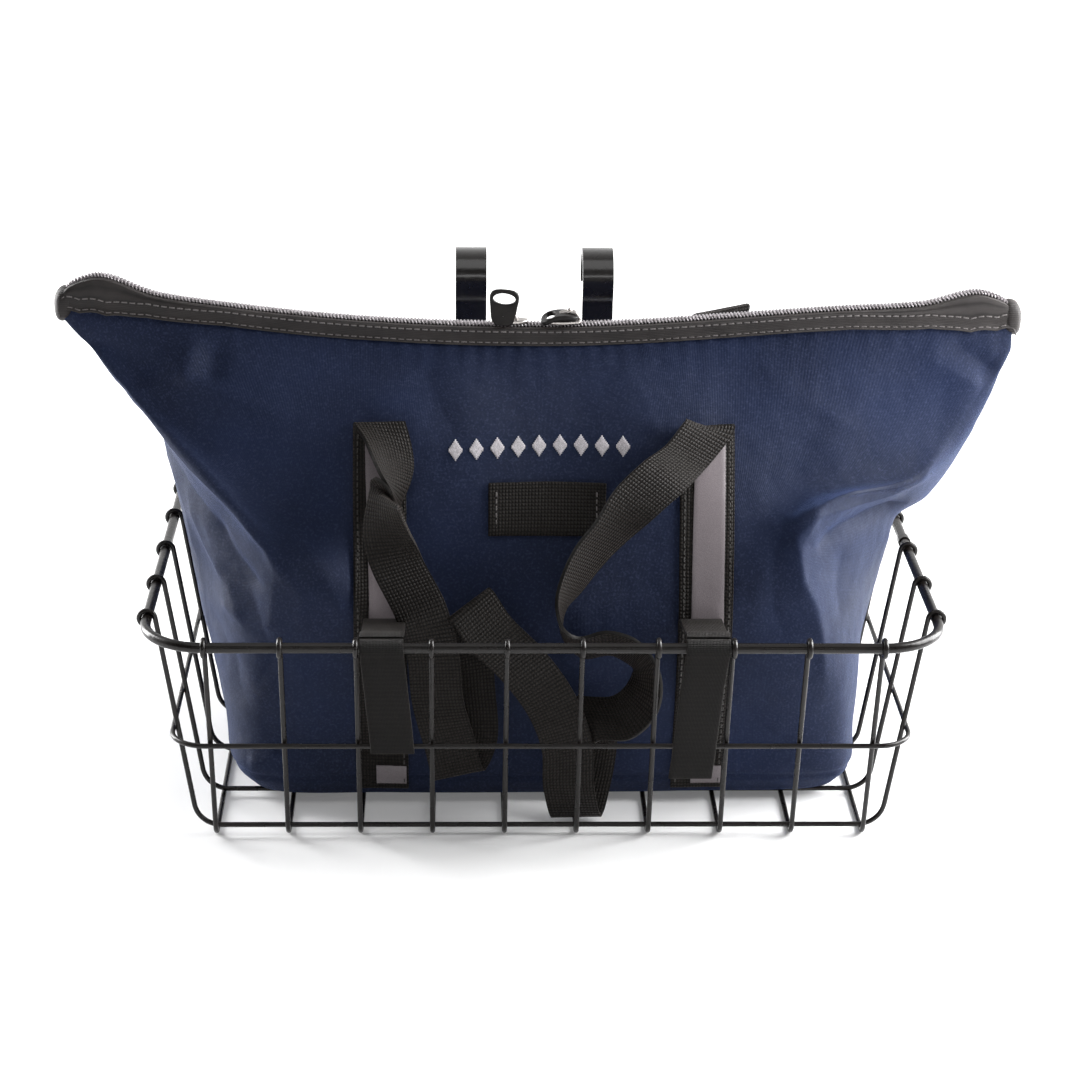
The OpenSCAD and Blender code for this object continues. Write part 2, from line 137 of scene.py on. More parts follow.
def grid_normals(grid, closed=False):
    """Unit normals of a grid of points"""
    if closed:
        across = np.roll(grid, -1, axis=1) - np.roll(grid, 1, axis=1)
    else:
        across = np.gradient(grid, axis=1)
    up = np.gradient(grid, axis=0)
    normal = np.cross(across, up)
    return normal / np.maximum(np.linalg.norm(normal, axis=2, keepdims=True), 1e-12)


def slab_piece(name, grid, thickness, material, lift=0.0):
    """Closed strip of cloth on a grid of points: its underside is lift off the grid, its top a
    thickness above that, and its edges are rounded off"""
    rows, columns = grid.shape[:2]
    normal = grid_normals(grid)
    low = grid + normal * lift
    high = low + normal * thickness
    side = np.linalg.norm(np.diff(grid, axis=1), axis=2).mean(axis=0)
    u = np.concatenate([[0], np.cumsum(side)])
    v = along(grid[:, columns // 2])
    uv = np.stack(np.meshgrid(u, v), axis=-1).reshape(-1, 2)
    verts = np.vstack([high.reshape(-1, 3), low.reshape(-1, 3)])
    count = rows * columns
    faces = grid_faces(rows, columns)
    faces += grid_faces(rows, columns, start=count, flip=True)
    border = ([i for i in range(columns)] + [i * columns + columns - 1 for i in range(1, rows)]
              + [(rows - 1) * columns + i for i in range(columns - 2, -1, -1)]
              + [i * columns for i in range(rows - 2, 0, -1)])
    for a, b in zip(border, border[1:] + border[:1]):
        faces.append((b, a, a + count, b + count))
    piece = mesh_piece(name, verts, faces, material, np.vstack([uv, uv]))
    bevel = piece.modifiers.new("soft_edge", "BEVEL")
    bevel.width = thickness * 0.35
    bevel.segments = 2
    bevel.angle_limit = math.radians(50)
    return piece


def tube(line, radius, sides):
    """Vertices and faces of a round tube along a line of points, closed at both ends"""
    line = np.asarray(line, float)
    ahead = np.gradient(line, axis=0)
    ahead /= np.linalg.norm(ahead, axis=1)[:, None]
    side = np.cross(ahead, [0.0, 0.0, 1.0])
    weak = np.linalg.norm(side, axis=1) < 1e-3
    side[weak] = np.cross(ahead[weak], [0.0, 1.0, 0.0])
    side /= np.linalg.norm(side, axis=1)[:, None]
    up = np.cross(side, ahead)
    turn = np.linspace(0, 2 * math.pi, sides, endpoint=False)
    ring = (side[:, None] * np.cos(turn)[None, :, None] + up[:, None] * np.sin(turn)[None, :, None])
    verts = (line[:, None] + ring * radius).reshape(-1, 3)
    faces = grid_faces(len(line), sides, closed=True)
    faces.append(tuple(range(sides))[::-1])
    faces.append(tuple(range((len(line) - 1) * sides, len(line) * sides)))
    return verts, faces


def joined(parts):
    """One list of vertices and one of faces, from several"""
    verts, faces, start = [], [], 0
    for part_verts, part_faces in parts:
        verts.append(part_verts)
        faces += [tuple(i + start for i in f) for f in part_faces]
        start += len(part_verts)
    return np.vstack(verts), faces


def dashes(line, pitch, length, radius):
    """Stitches along a line of points: short threads laid along it"""
    line = np.asarray(line, float)
    run = along(line)
    starts = np.arange(pitch / 2, run[-1] - pitch, pitch)
    parts = []
    for start in starts:
        share = np.linspace(0, 1, 5)
        points = np.stack([np.interp(start + share * length, run, line[:, k]) for k in range(3)], 1)
        parts.append(tube(points, radius, 5))
    return joined(parts)


# ---- Materials ----

def material(name, colour, roughness, **inputs):
    """Principled material; inputs are set straight on the shader's sockets"""
    made = bpy.data.materials.new(name)
    made.use_nodes = True
    shader = made.node_tree.nodes["Principled BSDF"]
    shader.inputs["Base Color"].default_value = (*colour, 1)
    shader.inputs["Roughness"].default_value = roughness
    for key, value in inputs.items():
        socket = shader.inputs[key.replace("_", " ")]
        socket.default_value = (*value, 1) if isinstance(value, tuple) else value
    return made


class Nodes:
    """Short way to add and link the nodes of one material"""

    def __init__(self, made):
        self.tree = made.node_tree
        self.shader = self.tree.nodes["Principled BSDF"]

    def add(self, kind, settings=None, **inputs):
        node = self.tree.nodes.new(kind)
        for key, value in (settings or {}).items():
            setattr(node, key, value)
        for key, value in inputs.items():
            self.feed(value, node.inputs[key.replace("_", " ")])
        return node

    def feed(self, value, socket):
        if isinstance(value, bpy.types.NodeSocket):
            self.tree.links.new(value, socket)
        else:
            socket.default_value = value

    def math(self, operation, a, b=0.5):
        node = self.tree.nodes.new("ShaderNodeMath")
        node.operation = operation
        self.feed(a, node.inputs[0])
        self.feed(b, node.inputs[1])
        return node.outputs[0]

    def place(self):
        return self.add("ShaderNodeTexCoord").outputs["Object"]

    def cloth_uv(self):
        return self.add("ShaderNodeUVMap", {"uv_map": "cloth"}).outputs[0]

    def noise(self, scale, detail):
        made = self.add("ShaderNodeTexNoise", Scale=scale, Detail=detail, Vector=self.place())
        return made.outputs["Fac"]

    def range(self, value, low, high, to_low, to_high):
        node = self.tree.nodes.new("ShaderNodeMapRange")
        for socket, x in zip(node.inputs, (value, low, high, to_low, to_high)):
            self.feed(x, socket)
        return node.outputs["Result"]

    def mix(self, share, a, b):
        """Colour from a to b"""
        node = self.tree.nodes.new("ShaderNodeMix")
        node.data_type = "RGBA"
        self.feed(share, node.inputs["Factor"])
        for colour, key in ((a, "A"), (b, "B")):
            socket = [s for s in node.inputs if s.name == key and s.type == "RGBA"][0]
            self.feed((*colour, 1) if isinstance(colour, tuple) else colour, socket)
        return [s for s in node.outputs if s.type == "RGBA"][0]

    def fade(self, value, low, high, a, b, first=0.0, last=1.0):
        """Colour a mixed with b; b's share goes from first to last as a value goes low to high"""
        return self.mix(self.range(value, low, high, first, last), a, b)

    def paint(self, colour):
        self.feed(colour, self.shader.inputs["Base Color"])

    def gloss(self, value, low, high, first, last):
        self.feed(self.range(value, low, high, first, last), self.shader.inputs["Roughness"])

    def relief(self, height, distance, strength, over=None):
        self.feed(self.bump(height, distance, strength, over), self.shader.inputs["Normal"])

    def bump(self, height, distance, strength, over=None):
        node = self.add("ShaderNodeBump", Height=height, Distance=distance, Strength=strength)
        if over is not None:
            self.feed(over, node.inputs["Normal"])
        return node.outputs["Normal"]

    def threads(self, uv, across, up):
        """Plain weave: 1 on top of a thread, 0 between; threads per metre across and up"""
        split = self.add("ShaderNodeSeparateXYZ", Vector=uv)
        x = self.math("MULTIPLY", split.outputs[0], across)
        y = self.math("MULTIPLY", split.outputs[1], up)
        warp = self.math("ABSOLUTE", self.math("SINE", self.math("MULTIPLY", x, math.pi)))
        weft = self.math("ABSOLUTE", self.math("SINE", self.math("MULTIPLY", y, math.pi)))
        cell = self.math("ADD", self.math("FLOOR", x), self.math("FLOOR", y))
        over = self.math("GREATER_THAN", self.math("FRACT", self.math("MULTIPLY", cell, 0.5)), 0.25)
        under = self.math("SUBTRACT", 1.0, over)
        top = self.math("MULTIPLY", warp, self.range(under, 0.0, 1.0, 0.55, 1.0))
        side = self.math("MULTIPLY", weft, self.range(over, 0.0, 1.0, 0.55, 1.0))
        return self.math("MULTIPLY", top, side)


def navy_cloth():
    """Coated nylon cloth: fine weave, soft sheen, faint mottling"""
    made = material("navy_cloth", (0.016, 0.026, 0.075), 0.60, Sheen_Weight=0.20,
                    Sheen_Roughness=0.30, Sheen_Tint=(0.30, 0.44, 1.0), Specular_IOR_Level=0.2)
    n = Nodes(made)
    weave = n.threads(n.cloth_uv(), 1500, 1500)
    mottle = n.noise(14, 4)
    fleck = n.noise(900, 1)
    base = n.fade(mottle, 0.3, 0.7, (0.0050, 0.0105, 0.034), (0.0095, 0.0185, 0.057))
    lit = n.fade(fleck, 0.5, 0.74, base, (0.034, 0.048, 0.105), 0.0, 0.5)
    # Painted shade: the cloth is darkened in the gaps between threads, following the weave's height
    n.paint(n.fade(weave, 0.0, 0.55, lit, (0.003, 0.005, 0.014), 0.28, 0.0))
    n.gloss(mottle, 0.3, 0.7, 0.56, 0.70)
    n.relief(weave, 0.00022, 0.8, n.bump(n.noise(120, 3), 0.0010, 0.5))
    return made


def webbing(name, dark, light, ribs_across, ribs_along):
    """Nylon webbing with plump threads in a plain weave"""
    made = material(name, dark, 0.55, Sheen_Weight=0.05, Sheen_Roughness=0.4,
                    Sheen_Tint=(1.0, 0.84, 0.74), Specular_IOR_Level=0.2)
    n = Nodes(made)
    weave = n.threads(n.cloth_uv(), ribs_across, ribs_along)
    fuzz = n.noise(700, 3)
    # Painted shade and painted highlights: near black in the gaps between threads and lighter on their
    # crowns, following the weave's height
    base = n.fade(weave, 0.10, 0.85, tuple(c * 0.25 for c in dark), light)
    n.paint(n.fade(fuzz, 0.4, 0.75, base, dark, 0.0, 0.45))
    n.relief(weave, 0.0008, 1.0, n.bump(fuzz, 0.0003, 0.5))
    return made


def binding_cloth():
    """Smooth twill of the zip's tape and binding"""
    made = material("binding", (0.020, 0.016, 0.015), 0.50, Sheen_Weight=0.08,
                    Sheen_Roughness=0.4, Sheen_Tint=(1.0, 0.86, 0.82), Specular_IOR_Level=0.3)
    n = Nodes(made)
    weave = n.threads(n.cloth_uv(), 1900, 1100)
    wear = n.noise(60, 4)
    # Painted shade: darker in the gaps between threads than on their crowns, following the weave's
    # height
    base = n.fade(weave, 0.0, 0.8, (0.007, 0.006, 0.006), (0.030, 0.024, 0.023))
    n.paint(n.fade(wear, 0.35, 0.7, base, (0.040, 0.033, 0.032), 0.0, 0.4))
    n.relief(weave, 0.0002, 0.9)
    return made


def thread(name, colour):
    """Twisted sewing thread"""
    made = material(name, colour, 0.6, Sheen_Weight=0.3)
    n = Nodes(made)
    twist = n.noise(2500, 2)
    n.paint(n.fade(twist, 0.35, 0.7, tuple(c * 0.45 for c in colour), colour))
    n.relief(twist, 0.0003, 0.8)
    return made


def black_coat(name, gloss, specular):
    """Black coat on metal: glossy, with a little orange peel and dust"""
    made = material(name, (0.007, 0.0055, 0.005), 0.28, Coat_Weight=gloss,
                    Coat_Roughness=0.16, Specular_IOR_Level=specular)
    n = Nodes(made)
    dust = n.noise(55, 5)
    n.paint(n.fade(dust, 0.52, 0.75, (0.007, 0.0055, 0.005), (0.019, 0.0155, 0.014), 0.0, 0.5))
    n.gloss(dust, 0.3, 0.7, 0.20, 0.36)
    n.relief(n.noise(420, 3), 0.0004, 0.35)
    return made


def metal(name, colour, roughness, stain):
    """Plated metal with faint rubbing and darker stains"""
    made = material(name, colour, roughness, Metallic=1.0)
    n = Nodes(made)
    worn = n.noise(150, 5)
    n.paint(n.fade(worn, 0.42, 0.72, colour, stain, 0.0, 0.8))
    n.gloss(worn, 0.3, 0.7, roughness * 0.8, roughness * 1.4)
    n.relief(n.noise(1200, 2), 0.0002, 0.3)
    return made


def reflective_tape():
    """Silver tape of tiny glass beads"""
    made = material("reflective_tape", (0.165, 0.140, 0.150), 0.42, Coat_Weight=0.25,
                    Coat_Roughness=0.3)
    n = Nodes(made)
    beads = n.add("ShaderNodeTexVoronoi", Vector=n.place(), Scale=2600.0).outputs["Distance"]
    base = n.fade(beads, 0.0, 0.6, (0.250, 0.218, 0.230), (0.160, 0.137, 0.147))
    n.paint(n.fade(n.noise(35, 4), 0.4, 0.75, base, (0.145, 0.124, 0.133), 0.0, 0.5))
    n.relief(beads, 0.00015, 0.5)
    return made


def rubber():
    """Moulded black pull tab, satin with fine grain"""
    made = material("pull_rubber", (0.010, 0.009, 0.008), 0.46, Specular_IOR_Level=0.2)
    n = Nodes(made)
    n.paint(n.fade(n.noise(90, 4), 0.4, 0.7, (0.006, 0.005, 0.005), (0.013, 0.011, 0.010)))
    n.relief(n.noise(900, 3), 0.0002, 0.5)
    return made


def board():
    """Grey pressed base board"""
    made = material("board", (0.06, 0.06, 0.065), 0.8)
    n = Nodes(made)
    fibre = n.noise(300, 5)
    n.paint(n.mix(fibre, (0.04, 0.04, 0.043), (0.09, 0.09, 0.095)))
    n.relief(fibre, 0.0003, 0.6)
    return made


def coil_plastic():
    """Nylon coil of the zip, with a metal sheen"""
    made = material("zip_coil", (0.22, 0.17, 0.155), 0.30, Metallic=0.55, Specular_IOR_Level=0.6)
    n = Nodes(made)
    tarnish = n.noise(260, 4)
    n.paint(n.fade(tarnish, 0.4, 0.7, (0.42, 0.39, 0.41), (0.20, 0.18, 0.185)))
    n.relief(tarnish, 0.0002, 0.4)
    return made


CLOTH = navy_cloth()
WEBBING = webbing("webbing", (0.008, 0.006, 0.0048), (0.030, 0.023, 0.019), 620, 560)
STRAP = webbing("tie_strap", (0.005, 0.0042, 0.0038), (0.010, 0.0084, 0.0078), 1500, 1500)
BINDING = binding_cloth()
COIL = coil_plastic()
TAPE = reflective_tape()
GREY_THREAD = thread("grey_thread", (0.16, 0.142, 0.14))
DARK_THREAD = thread("dark_thread", (0.032, 0.027, 0.024))
WHITE_THREAD = thread("white_thread", (0.80, 0.76, 0.80))
WIRE = black_coat("wire_coat", 0.15, 0.25)
HOOK_COAT = black_coat("strap_coat", 0.9, 0.5)
ZINC = metal("zinc", (0.55, 0.54, 0.52), 0.34, (0.32, 0.30, 0.27))
NICKEL = metal("slider_metal", (0.50, 0.47, 0.45), 0.28, (0.20, 0.18, 0.17))
RUBBER = rubber()
BOARD = board()


# ---- The zip's line, read from the CAD coil ----

LEFT_EAR_UP = 2.0       # the ears do not stand alike: the left is a little higher than drawn
RIGHT_EAR_DOWN = 5.0    # and the right one lower
EAR_START = 165         # from the middle out to where the ears begin to rise
EAR_FULL = 215


def zip_points():
    """Top edge of the CAD coil from the left ear to the right one, as (x, z) in mm"""
    top = {}
    for vert in frame["nodes"]["zip_coil_front"].data.vertices:
        x = round(vert.co.x / MM)
        top[x] = max(top.get(x, 0), vert.co.z / MM)
    points = np.array(sorted(top.items()), float)
    points[:, 1] += np.interp(points[:, 0], [-EAR_FULL, -EAR_START, EAR_START, EAR_FULL],
                              [LEFT_EAR_UP, 0, 0, -RIGHT_EAR_DOWN])
    return points


ZIP = zip_points()
ZIP_RUN = along(ZIP)
EAR = ZIP[-1, 0]


def zip_at(share):
    """(x, z) in mm on the zip's line, for shares of its length from 0 to 1"""
    return curve_through(ZIP_RUN, ZIP, np.asarray(share) * ZIP_RUN[-1])


def zip_height(x, samples=400):
    """Height in mm of the zip's line over x"""
    line = zip_at(np.linspace(0, 1, samples))
    return np.interp(x, line[:, 0], line[:, 1])


def square_to(points):
    """Unit vectors upwards and square to a line of points (x, z)"""
    ahead = np.gradient(points, axis=0)
    ahead /= np.linalg.norm(ahead, axis=1)[:, None]
    return np.stack([-ahead[:, 1], ahead[:, 0]], axis=1)


BINDING_H = 10.4        # from the zip down to the binding's lower edge, at the middle
# The same from the middle out to an ear's tip: it is tallest on the ear and runs out at the tip
BINDING_AT = [0, 155, 193, 214, 227, 238]
BINDING_HEIGHTS = [BINDING_H, BINDING_H, 12.5, 20, 17, 8]


def binding_height(x):
    """How far the binding reaches below the zip at x"""
    return np.interp(np.abs(x), BINDING_AT, BINDING_HEIGHTS)


# ---- Bag cloth ----

# Columns of the front from the left gusset's middle to the right one, each up from the base.
# The second and the sixth are the ridges where the front folds back into the gussets.
FRONT_COLUMNS = [
    [(-146, 18, 5.6), (-153, 18, 14), (-160, 18, 34), (-169, 18, 68), (-175, 18, 100),
     (-181, 18, 134), (-186, 18, 158), (-196, 16, 188)],
    [(-134, -51, 5.6), (-140, -54, 14), (-140, -52, 34), (-137, -57, 68), (-133, -60, 103),
     (-130, -59, 135), (-150, -42, 155), (-186, -11, 184)],
    [(-75, -54, 5.6), (-76, -56, 14), (-76, -55, 34), (-77, -59, 68), (-78, -60, 102),
     (-79, -48, 132), (-79, -37, 158), (-79, -20, 189)],
    [(2, -54, 5.6), (2, -56, 14), (2, -55, 34), (2, -60, 68), (2, -60, 100),
     (1, -48, 130), (1, -36, 157), (0, -18, 188)],
    [(80, -52, 5.6), (80, -55, 14), (80, -55, 34), (80, -60, 68), (80, -60, 102),
     (80, -50, 132), (80, -38, 158), (80, -20, 190)],
    [(143, -47, 5.6), (148, -51, 14), (147, -52, 34), (143, -57, 68), (134, -60, 103),
     (126, -57, 132), (134, -49, 153), (188, -16, 162)],
    [(146, 18, 5.6), (154, 18, 14), (159, 18, 34), (165, 18, 62), (173, 18, 90),
     (179, 18, 113), (183, 18, 128), (199, 15, 141), (216, 13, 170)],
]
RIDGES = (1, 5)
# How sharp the ridges and the gussets' middles are, over the share of the way up the bag
RIDGE_CREASE = ([0, 0.45, 0.65, 1], [0, 0.15, 0.8, 0.6])
GUSSET_CREASE = ([0, 0.7, 1], [0, 0.2, 0.9])
REAR_FLATTER = 0.86     # the rear bulges this much of what the front does
REAR_FOLDS = 0.8        # and its folds, turned about, are this high
TUCK = 1.4              # how far the cloth goes up under the binding's lower edge
EAR_IN = 3.0            # from the zip's end in to the cloth's
TOP_HALF = 4.4          # half thickness of the bag along its top edge
AROUND = 760            # vertices round the bag
UP = 200                # and up it

# Folds seen from the front: points (x, z), height (minus is a valley) and width
FOLDS = [
    ([(-226, 222), (-205, 203), (-186, 184), (-167, 168), (-149, 154), (-132, 138), (-124, 122)],
     3.4, 3.4),
    ([(-206, 186), (-188, 168), (-170, 152), (-152, 136)], -2.4, 6),
    ([(-112, 150), (-95, 118), (-70, 92)], 1.2, 10),
    ([(-150, 128), (-140, 104), (-133, 84), (-140, 62)], -2.6, 8),
    ([(-186, 164), (-176, 140), (-172, 112)], 1.8, 3.5),
    ([(-176, 152), (-166, 128), (-152, 112), (-146, 92)], 1.6, 3),
    ([(-160, 146), (-150, 130), (-136, 116)], -1.6, 3),
    ([(-128, 134), (-116, 116), (-118, 98)], 1.3, 4),
    ([(-158, 104), (-146, 96), (-130, 98)], 1.1, 3.5),
    ([(-166, 92), (-152, 74), (-148, 50)], -1.4, 5),
    ([(-118, 140), (-104, 122), (-96, 104)], 1.4, 5),
    ([(-168, 150), (-158, 120), (-150, 90)], 1.8, 7),
    ([(-196, 226), (-172, 206), (-146, 196), (-120, 190)], 1.6, 9),
    ([(-171, 228), (-173, 214), (-178, 202)], 3.4, 6),
    ([(-158, 228), (-160, 214), (-163, 204)], -2.6, 5),
    ([(-226, 226), (-206, 216), (-192, 204)], -3.2, 10),
    ([(-60, 214), (-48, 196), (-40, 180)], -1.2, 9),
    ([(40, 216), (52, 198), (58, 184)], 1.0, 9),
    ([(205, 181), (189, 160), (173, 155), (151, 153), (134, 152), (124, 143), (127, 122),
      (134, 108), (138, 88), (141, 60)], 2.6, 5),
    ([(186, 142), (166, 143), (149, 142), (134, 136)], -4.0, 5),
    ([(118, 152), (112, 130), (114, 108), (120, 90)], -2.2, 10),
    ([(150, 130), (148, 112), (150, 96)], -1.6, 5),
    ([(202, 226), (214, 218), (229, 208)], -5.5, 5.5),
    ([(190, 224), (203, 210), (220, 200)], 2.2, 8),
    ([(104, 218), (118, 204), (140, 192), (160, 182)], 1.3, 11),
    ([(98, 60), (108, 46), (128, 30)], -1.3, 6),
    ([(-128, 30), (-138, 22), (-146, 22)], 1.8, 5),
]
# Wrinkles without a place of their own: height, size, seed and how flat they are
WRINKLES = [(1.9, 62, 3.1, 0.55), (0.9, 24, 11.7, 0.55), (0.28, 9, 5.3, 1.0)]
PUCKER = 0.42           # height of the gathers under the binding
SEAM_Z = 15.0           # height of the seam that joins the base to the walls
SEAM_HALF = 1.5         # its half width
SEAM_IN = 1.1           # and its depth


def rear_of(column):
    """The same column on the rear of the bag, a little flatter"""
    return [(x, BAG_Y + (BAG_Y - y) * REAR_FLATTER, z) for x, y, z in column]


def bag_grid():
    """Points of the bag's cloth, in mm: rows go up from the base, columns go round from the
    middle of the left gusset past the front"""
    rear = [rear_of(c) for c in FRONT_COLUMNS[5:0:-1]]
    columns = FRONT_COLUMNS + rear
    tip = EAR - EAR_IN
    front_tops = [(x, -1) for x in (3 - tip, -78, 0, 79, tip - 3)]
    tops = [(-tip, 0), *front_tops, (tip, 0), *((x, 1) for x, _ in front_tops[::-1])]
    net = []
    levels = np.linspace(0, 1, UP)
    for points, (x, side) in zip(columns, tops):
        end = (x, BAG_Y + side * TOP_HALF, zip_height(x) - binding_height(x) + TUCK)
        line = np.array(points + [end], float)
        run = along(line)
        net.append(curve_through(run / run[-1], line, levels))
    net = np.array(net)
    net = np.vstack([net[-2:], net, net[:3]])
    knots = along(net[:, UP // 3])
    knots -= knots[2]
    turn = np.linspace(0, knots[len(columns) + 2], AROUND, endpoint=False)
    grid = np.zeros((UP, AROUND, 3))
    ridge = [r + 2 for r in RIDGES] + [len(columns) - r + 2 for r in RIDGES]
    gusset = [2, len(columns) // 2 + 2, len(columns) + 2]
    for row in range(UP):
        crease = np.zeros(len(net))
        crease[ridge] = np.interp(row / UP, *RIDGE_CREASE)
        crease[gusset] = np.interp(row / UP, *GUSSET_CREASE)
        grid[row] = curve_through(knots, net[:, row], turn, crease)
    grid[..., 0] = np.clip(grid[..., 0], -tip, tip)
    top = grid[-1]
    top[:, 2] = zip_height(top[:, 0], 2001) - binding_height(top[:, 0]) + TUCK
    return grid


def fold_height(x, z):
    """How far the folds lift the front of the bag at (x, z)"""
    height = np.zeros_like(x)
    for points, lift, width in FOLDS:
        best = np.full_like(x, 1e9)
        end_fade = np.ones_like(x)
        p = np.array(points, float)
        run = along(p)
        for k in range(len(p) - 1):
            step = p[k + 1] - p[k]
            t = np.clip(((x - p[k, 0]) * step[0] + (z - p[k, 1]) * step[1]) / (step @ step), 0, 1)
            d = np.hypot(x - p[k, 0] - t * step[0], z - p[k, 1] - t * step[1])
            here = (run[k] + t * (run[k + 1] - run[k])) / run[-1]
            nearer = d < best
            best = np.where(nearer, d, best)
            end_fade = np.where(nearer, np.minimum(1, np.minimum(here, 1 - here) * 5 + 0.15), end_fade)
        height += lift * end_fade * np.exp(-(best / width) ** 1.3)
    return height


def rough_noise(points, size, seed):
    """Smooth noise from about -1 to 1 at each point, with bumps of a size in mm"""
    flat = points.reshape(-1, 3) / size + seed
    return np.array([noise.noise(Vector(p)) for p in flat]).reshape(points.shape[:-1])


def bag_cloth():
    """The bag's cloth as one sewn shell: walls, gussets, ears and base"""
    grid = bag_grid()
    normal = grid_normals(grid, closed=True)
    x, y, z = grid[..., 0], grid[..., 1], grid[..., 2]
    front = np.clip((BAG_Y + 6 - y) / 20, 0, 1)
    rear = np.clip((y - BAG_Y + 6) / 20, 0, 1)
    level = np.linspace(0, 1, UP)[:, None]
    free = np.clip(level * 14, 0, 1) * np.clip((1 - level) * 12, 0, 1)
    shift = fold_height(x, z) * front * free
    shift += fold_height(-x, z) * REAR_FOLDS * rear * free
    for lift, size, seed, flat in WRINKLES:
        shift += lift * free * rough_noise(grid * np.array([1.0, 1.0, flat]), size, seed)
    pucker = np.sin(x * 0.62 + 2.5 * rough_noise(grid, 30, 8.8)) * np.exp(-(1 - level) * 26)
    shift += PUCKER * pucker
    shift -= SEAM_IN * np.exp(-((z - SEAM_Z) / SEAM_HALF) ** 2) * (level < 0.3)
    cloth = grid + normal * shift[..., None]
    cloth[..., 0] = np.clip(cloth[..., 0], EAR_IN - EAR, EAR - EAR_IN)
    return cloth


# Rings of the base: share of the way out to the walls, and height
BASE_RINGS = [(0.02, 5.4), (0.314, 5.25), (0.6276, 5.3), (0.8628, 5.4), (0.9706, 5.5)]


def bag_piece():
    """Mesh of the cloth, closed under the base and open under the binding"""
    walls = bag_cloth()
    middle = np.array([0, BAG_Y, 0])
    rings = []
    for share, height in BASE_RINGS:
        ring = walls[0].copy()
        ring[:, :2] = middle[:2] + (ring[:, :2] - middle[:2]) * share
        ring[:, 2] = height
        rings.append(ring)
    grid = np.concatenate([np.array(rings), walls])
    rows = len(grid)
    u = along(walls[UP // 2])
    v = np.concatenate([[0], np.cumsum(np.linalg.norm(np.diff(grid, axis=0), axis=2).mean(axis=1))])
    uv = np.stack(np.meshgrid(u, v), axis=-1).reshape(-1, 2) * MM
    faces = grid_faces(rows, AROUND, closed=True)
    faces.append(tuple(range(AROUND))[::-1])
    piece = mesh_piece("bag_cloth", at(grid.reshape(-1, 3)), faces, CLOTH, uv)
    return finished(piece, "bag", "navy_cloth", "bag_front_panel", "bag_rear_panel")


BAG = bag_piece()
BAG_TREE = BVHTree.FromObject(BAG, bpy.context.evaluated_depsgraph_get())
CAST_FROM = 400         # rays to the bag start this far out, in front of it or behind


def bag_face(x, z, side=-1):
    """Point in mm where the bag's front (-1) or rear (1) is at (x, z)"""
    start = Vector(at([x, side * CAST_FROM, z]))
    hit = BAG_TREE.ray_cast(start, Vector((0, -side, 0)))[0]
    if hit is None:
        return np.array([x, BAG_Y, z])
    return np.array([x, (hit.y - BASKET_Y) / MM, z])


def on_bag(across, up, side):
    """Grid of points in metres on the bag: across gives (x at the foot, x at the top) for each
    column, and up gives the heights"""
    low, high = up[0], up[-1]
    grid = np.zeros((len(up), len(across), 3))
    for i, z in enumerate(up):
        share = (z - low) / (high - low)
        for j, (foot, top) in enumerate(across):
            grid[i, j] = bag_face(foot + share * (top - foot), z, side)
    kernel = np.array([1, 4, 6, 4, 1]) / 16
    rows = [np.clip(np.arange(len(up)) + k - 2, 0, len(up) - 1) for k in range(len(kernel))]
    grid[..., 1] = sum(share * grid[row][..., 1] for share, row in zip(kernel, rows))
    return at(grid)


# ---- Zip: coils, binding, stitches and end tabs ----

COIL_PITCH = 1.75
COIL_IN = 0.9           # each coil reaches this far past the zip's middle
COIL_OUT = 3.6          # and this far out
COIL_HALF_H = 1.15
COIL_WIRE = 0.43        # radius of the coil's filament
TURN_POINTS = 12


def coil_piece(side):
    """Nylon coil on the front (-1) or rear (1) side; the two mesh half a pitch apart"""
    turns = int(ZIP_RUN[-1] / COIL_PITCH) - 2
    turn = np.arange(turns * TURN_POINTS) / TURN_POINTS + (0.25 if side > 0 else -0.25)
    share = (turn + 1.2) * COIL_PITCH / ZIP_RUN[-1]
    place = np.linspace(0, 1, 1200)
    points = zip_at(place)
    line = np.hstack([points, square_to(points)])
    x, z, ux, uz = (np.interp(share, place, line[:, k]) for k in range(4))
    centre = side * (COIL_OUT - COIL_IN) / 2
    reach = (COIL_OUT + COIL_IN) / 2 - COIL_WIRE
    y = BAG_Y + centre + reach * np.cos(2 * math.pi * turn)
    h = (COIL_HALF_H - COIL_WIRE) * np.sin(2 * math.pi * turn) - COIL_HALF_H
    verts, faces = tube(np.stack([x + ux * h, y, z + uz * h], axis=1), COIL_WIRE, 6)
    name = "zip_coil_front" if side < 0 else "zip_coil_rear"
    return finished(mesh_piece(name + "_teeth", at(verts), faces, COIL), "bag", "zip_coil", name)


# Binding from the zip's middle outwards: how far out, how far down, and whether it stretches
BINDING_PROFILE = [(0.9, 3.0, 0), (3.0, 2.6, 0), (4.2, 2.2, 0), (5.2, 2.3, 0), (5.8, 2.8, 0.5),
                   (6.1, 3.4, 1), (6.1, 5.0, 1), (6.0, 7.0, 1), (6.3, 8.9, 1), (6.9, 9.9, 1),
                   (6.9, 10.4, 1)]
BINDING_ROWS = 22
BINDING_COLUMNS = 620
BINDING_T = 0.6
BINDING_STITCH = (3.9, 2.7, 0.36)       # its stitches' pitch, length and radius
STITCH_ROWS = (3.4, 8.9)                # how far below the zip they run
STITCH_OUT = BINDING_T + 0.02
PLUMB_FROM = 150        # the binding leans square to the zip up to here, and hangs plumb from
PLUMB_FULL = 210        # here out
TIP_CLEAR = 6.0         # the binding stops this far short of the zip's ends


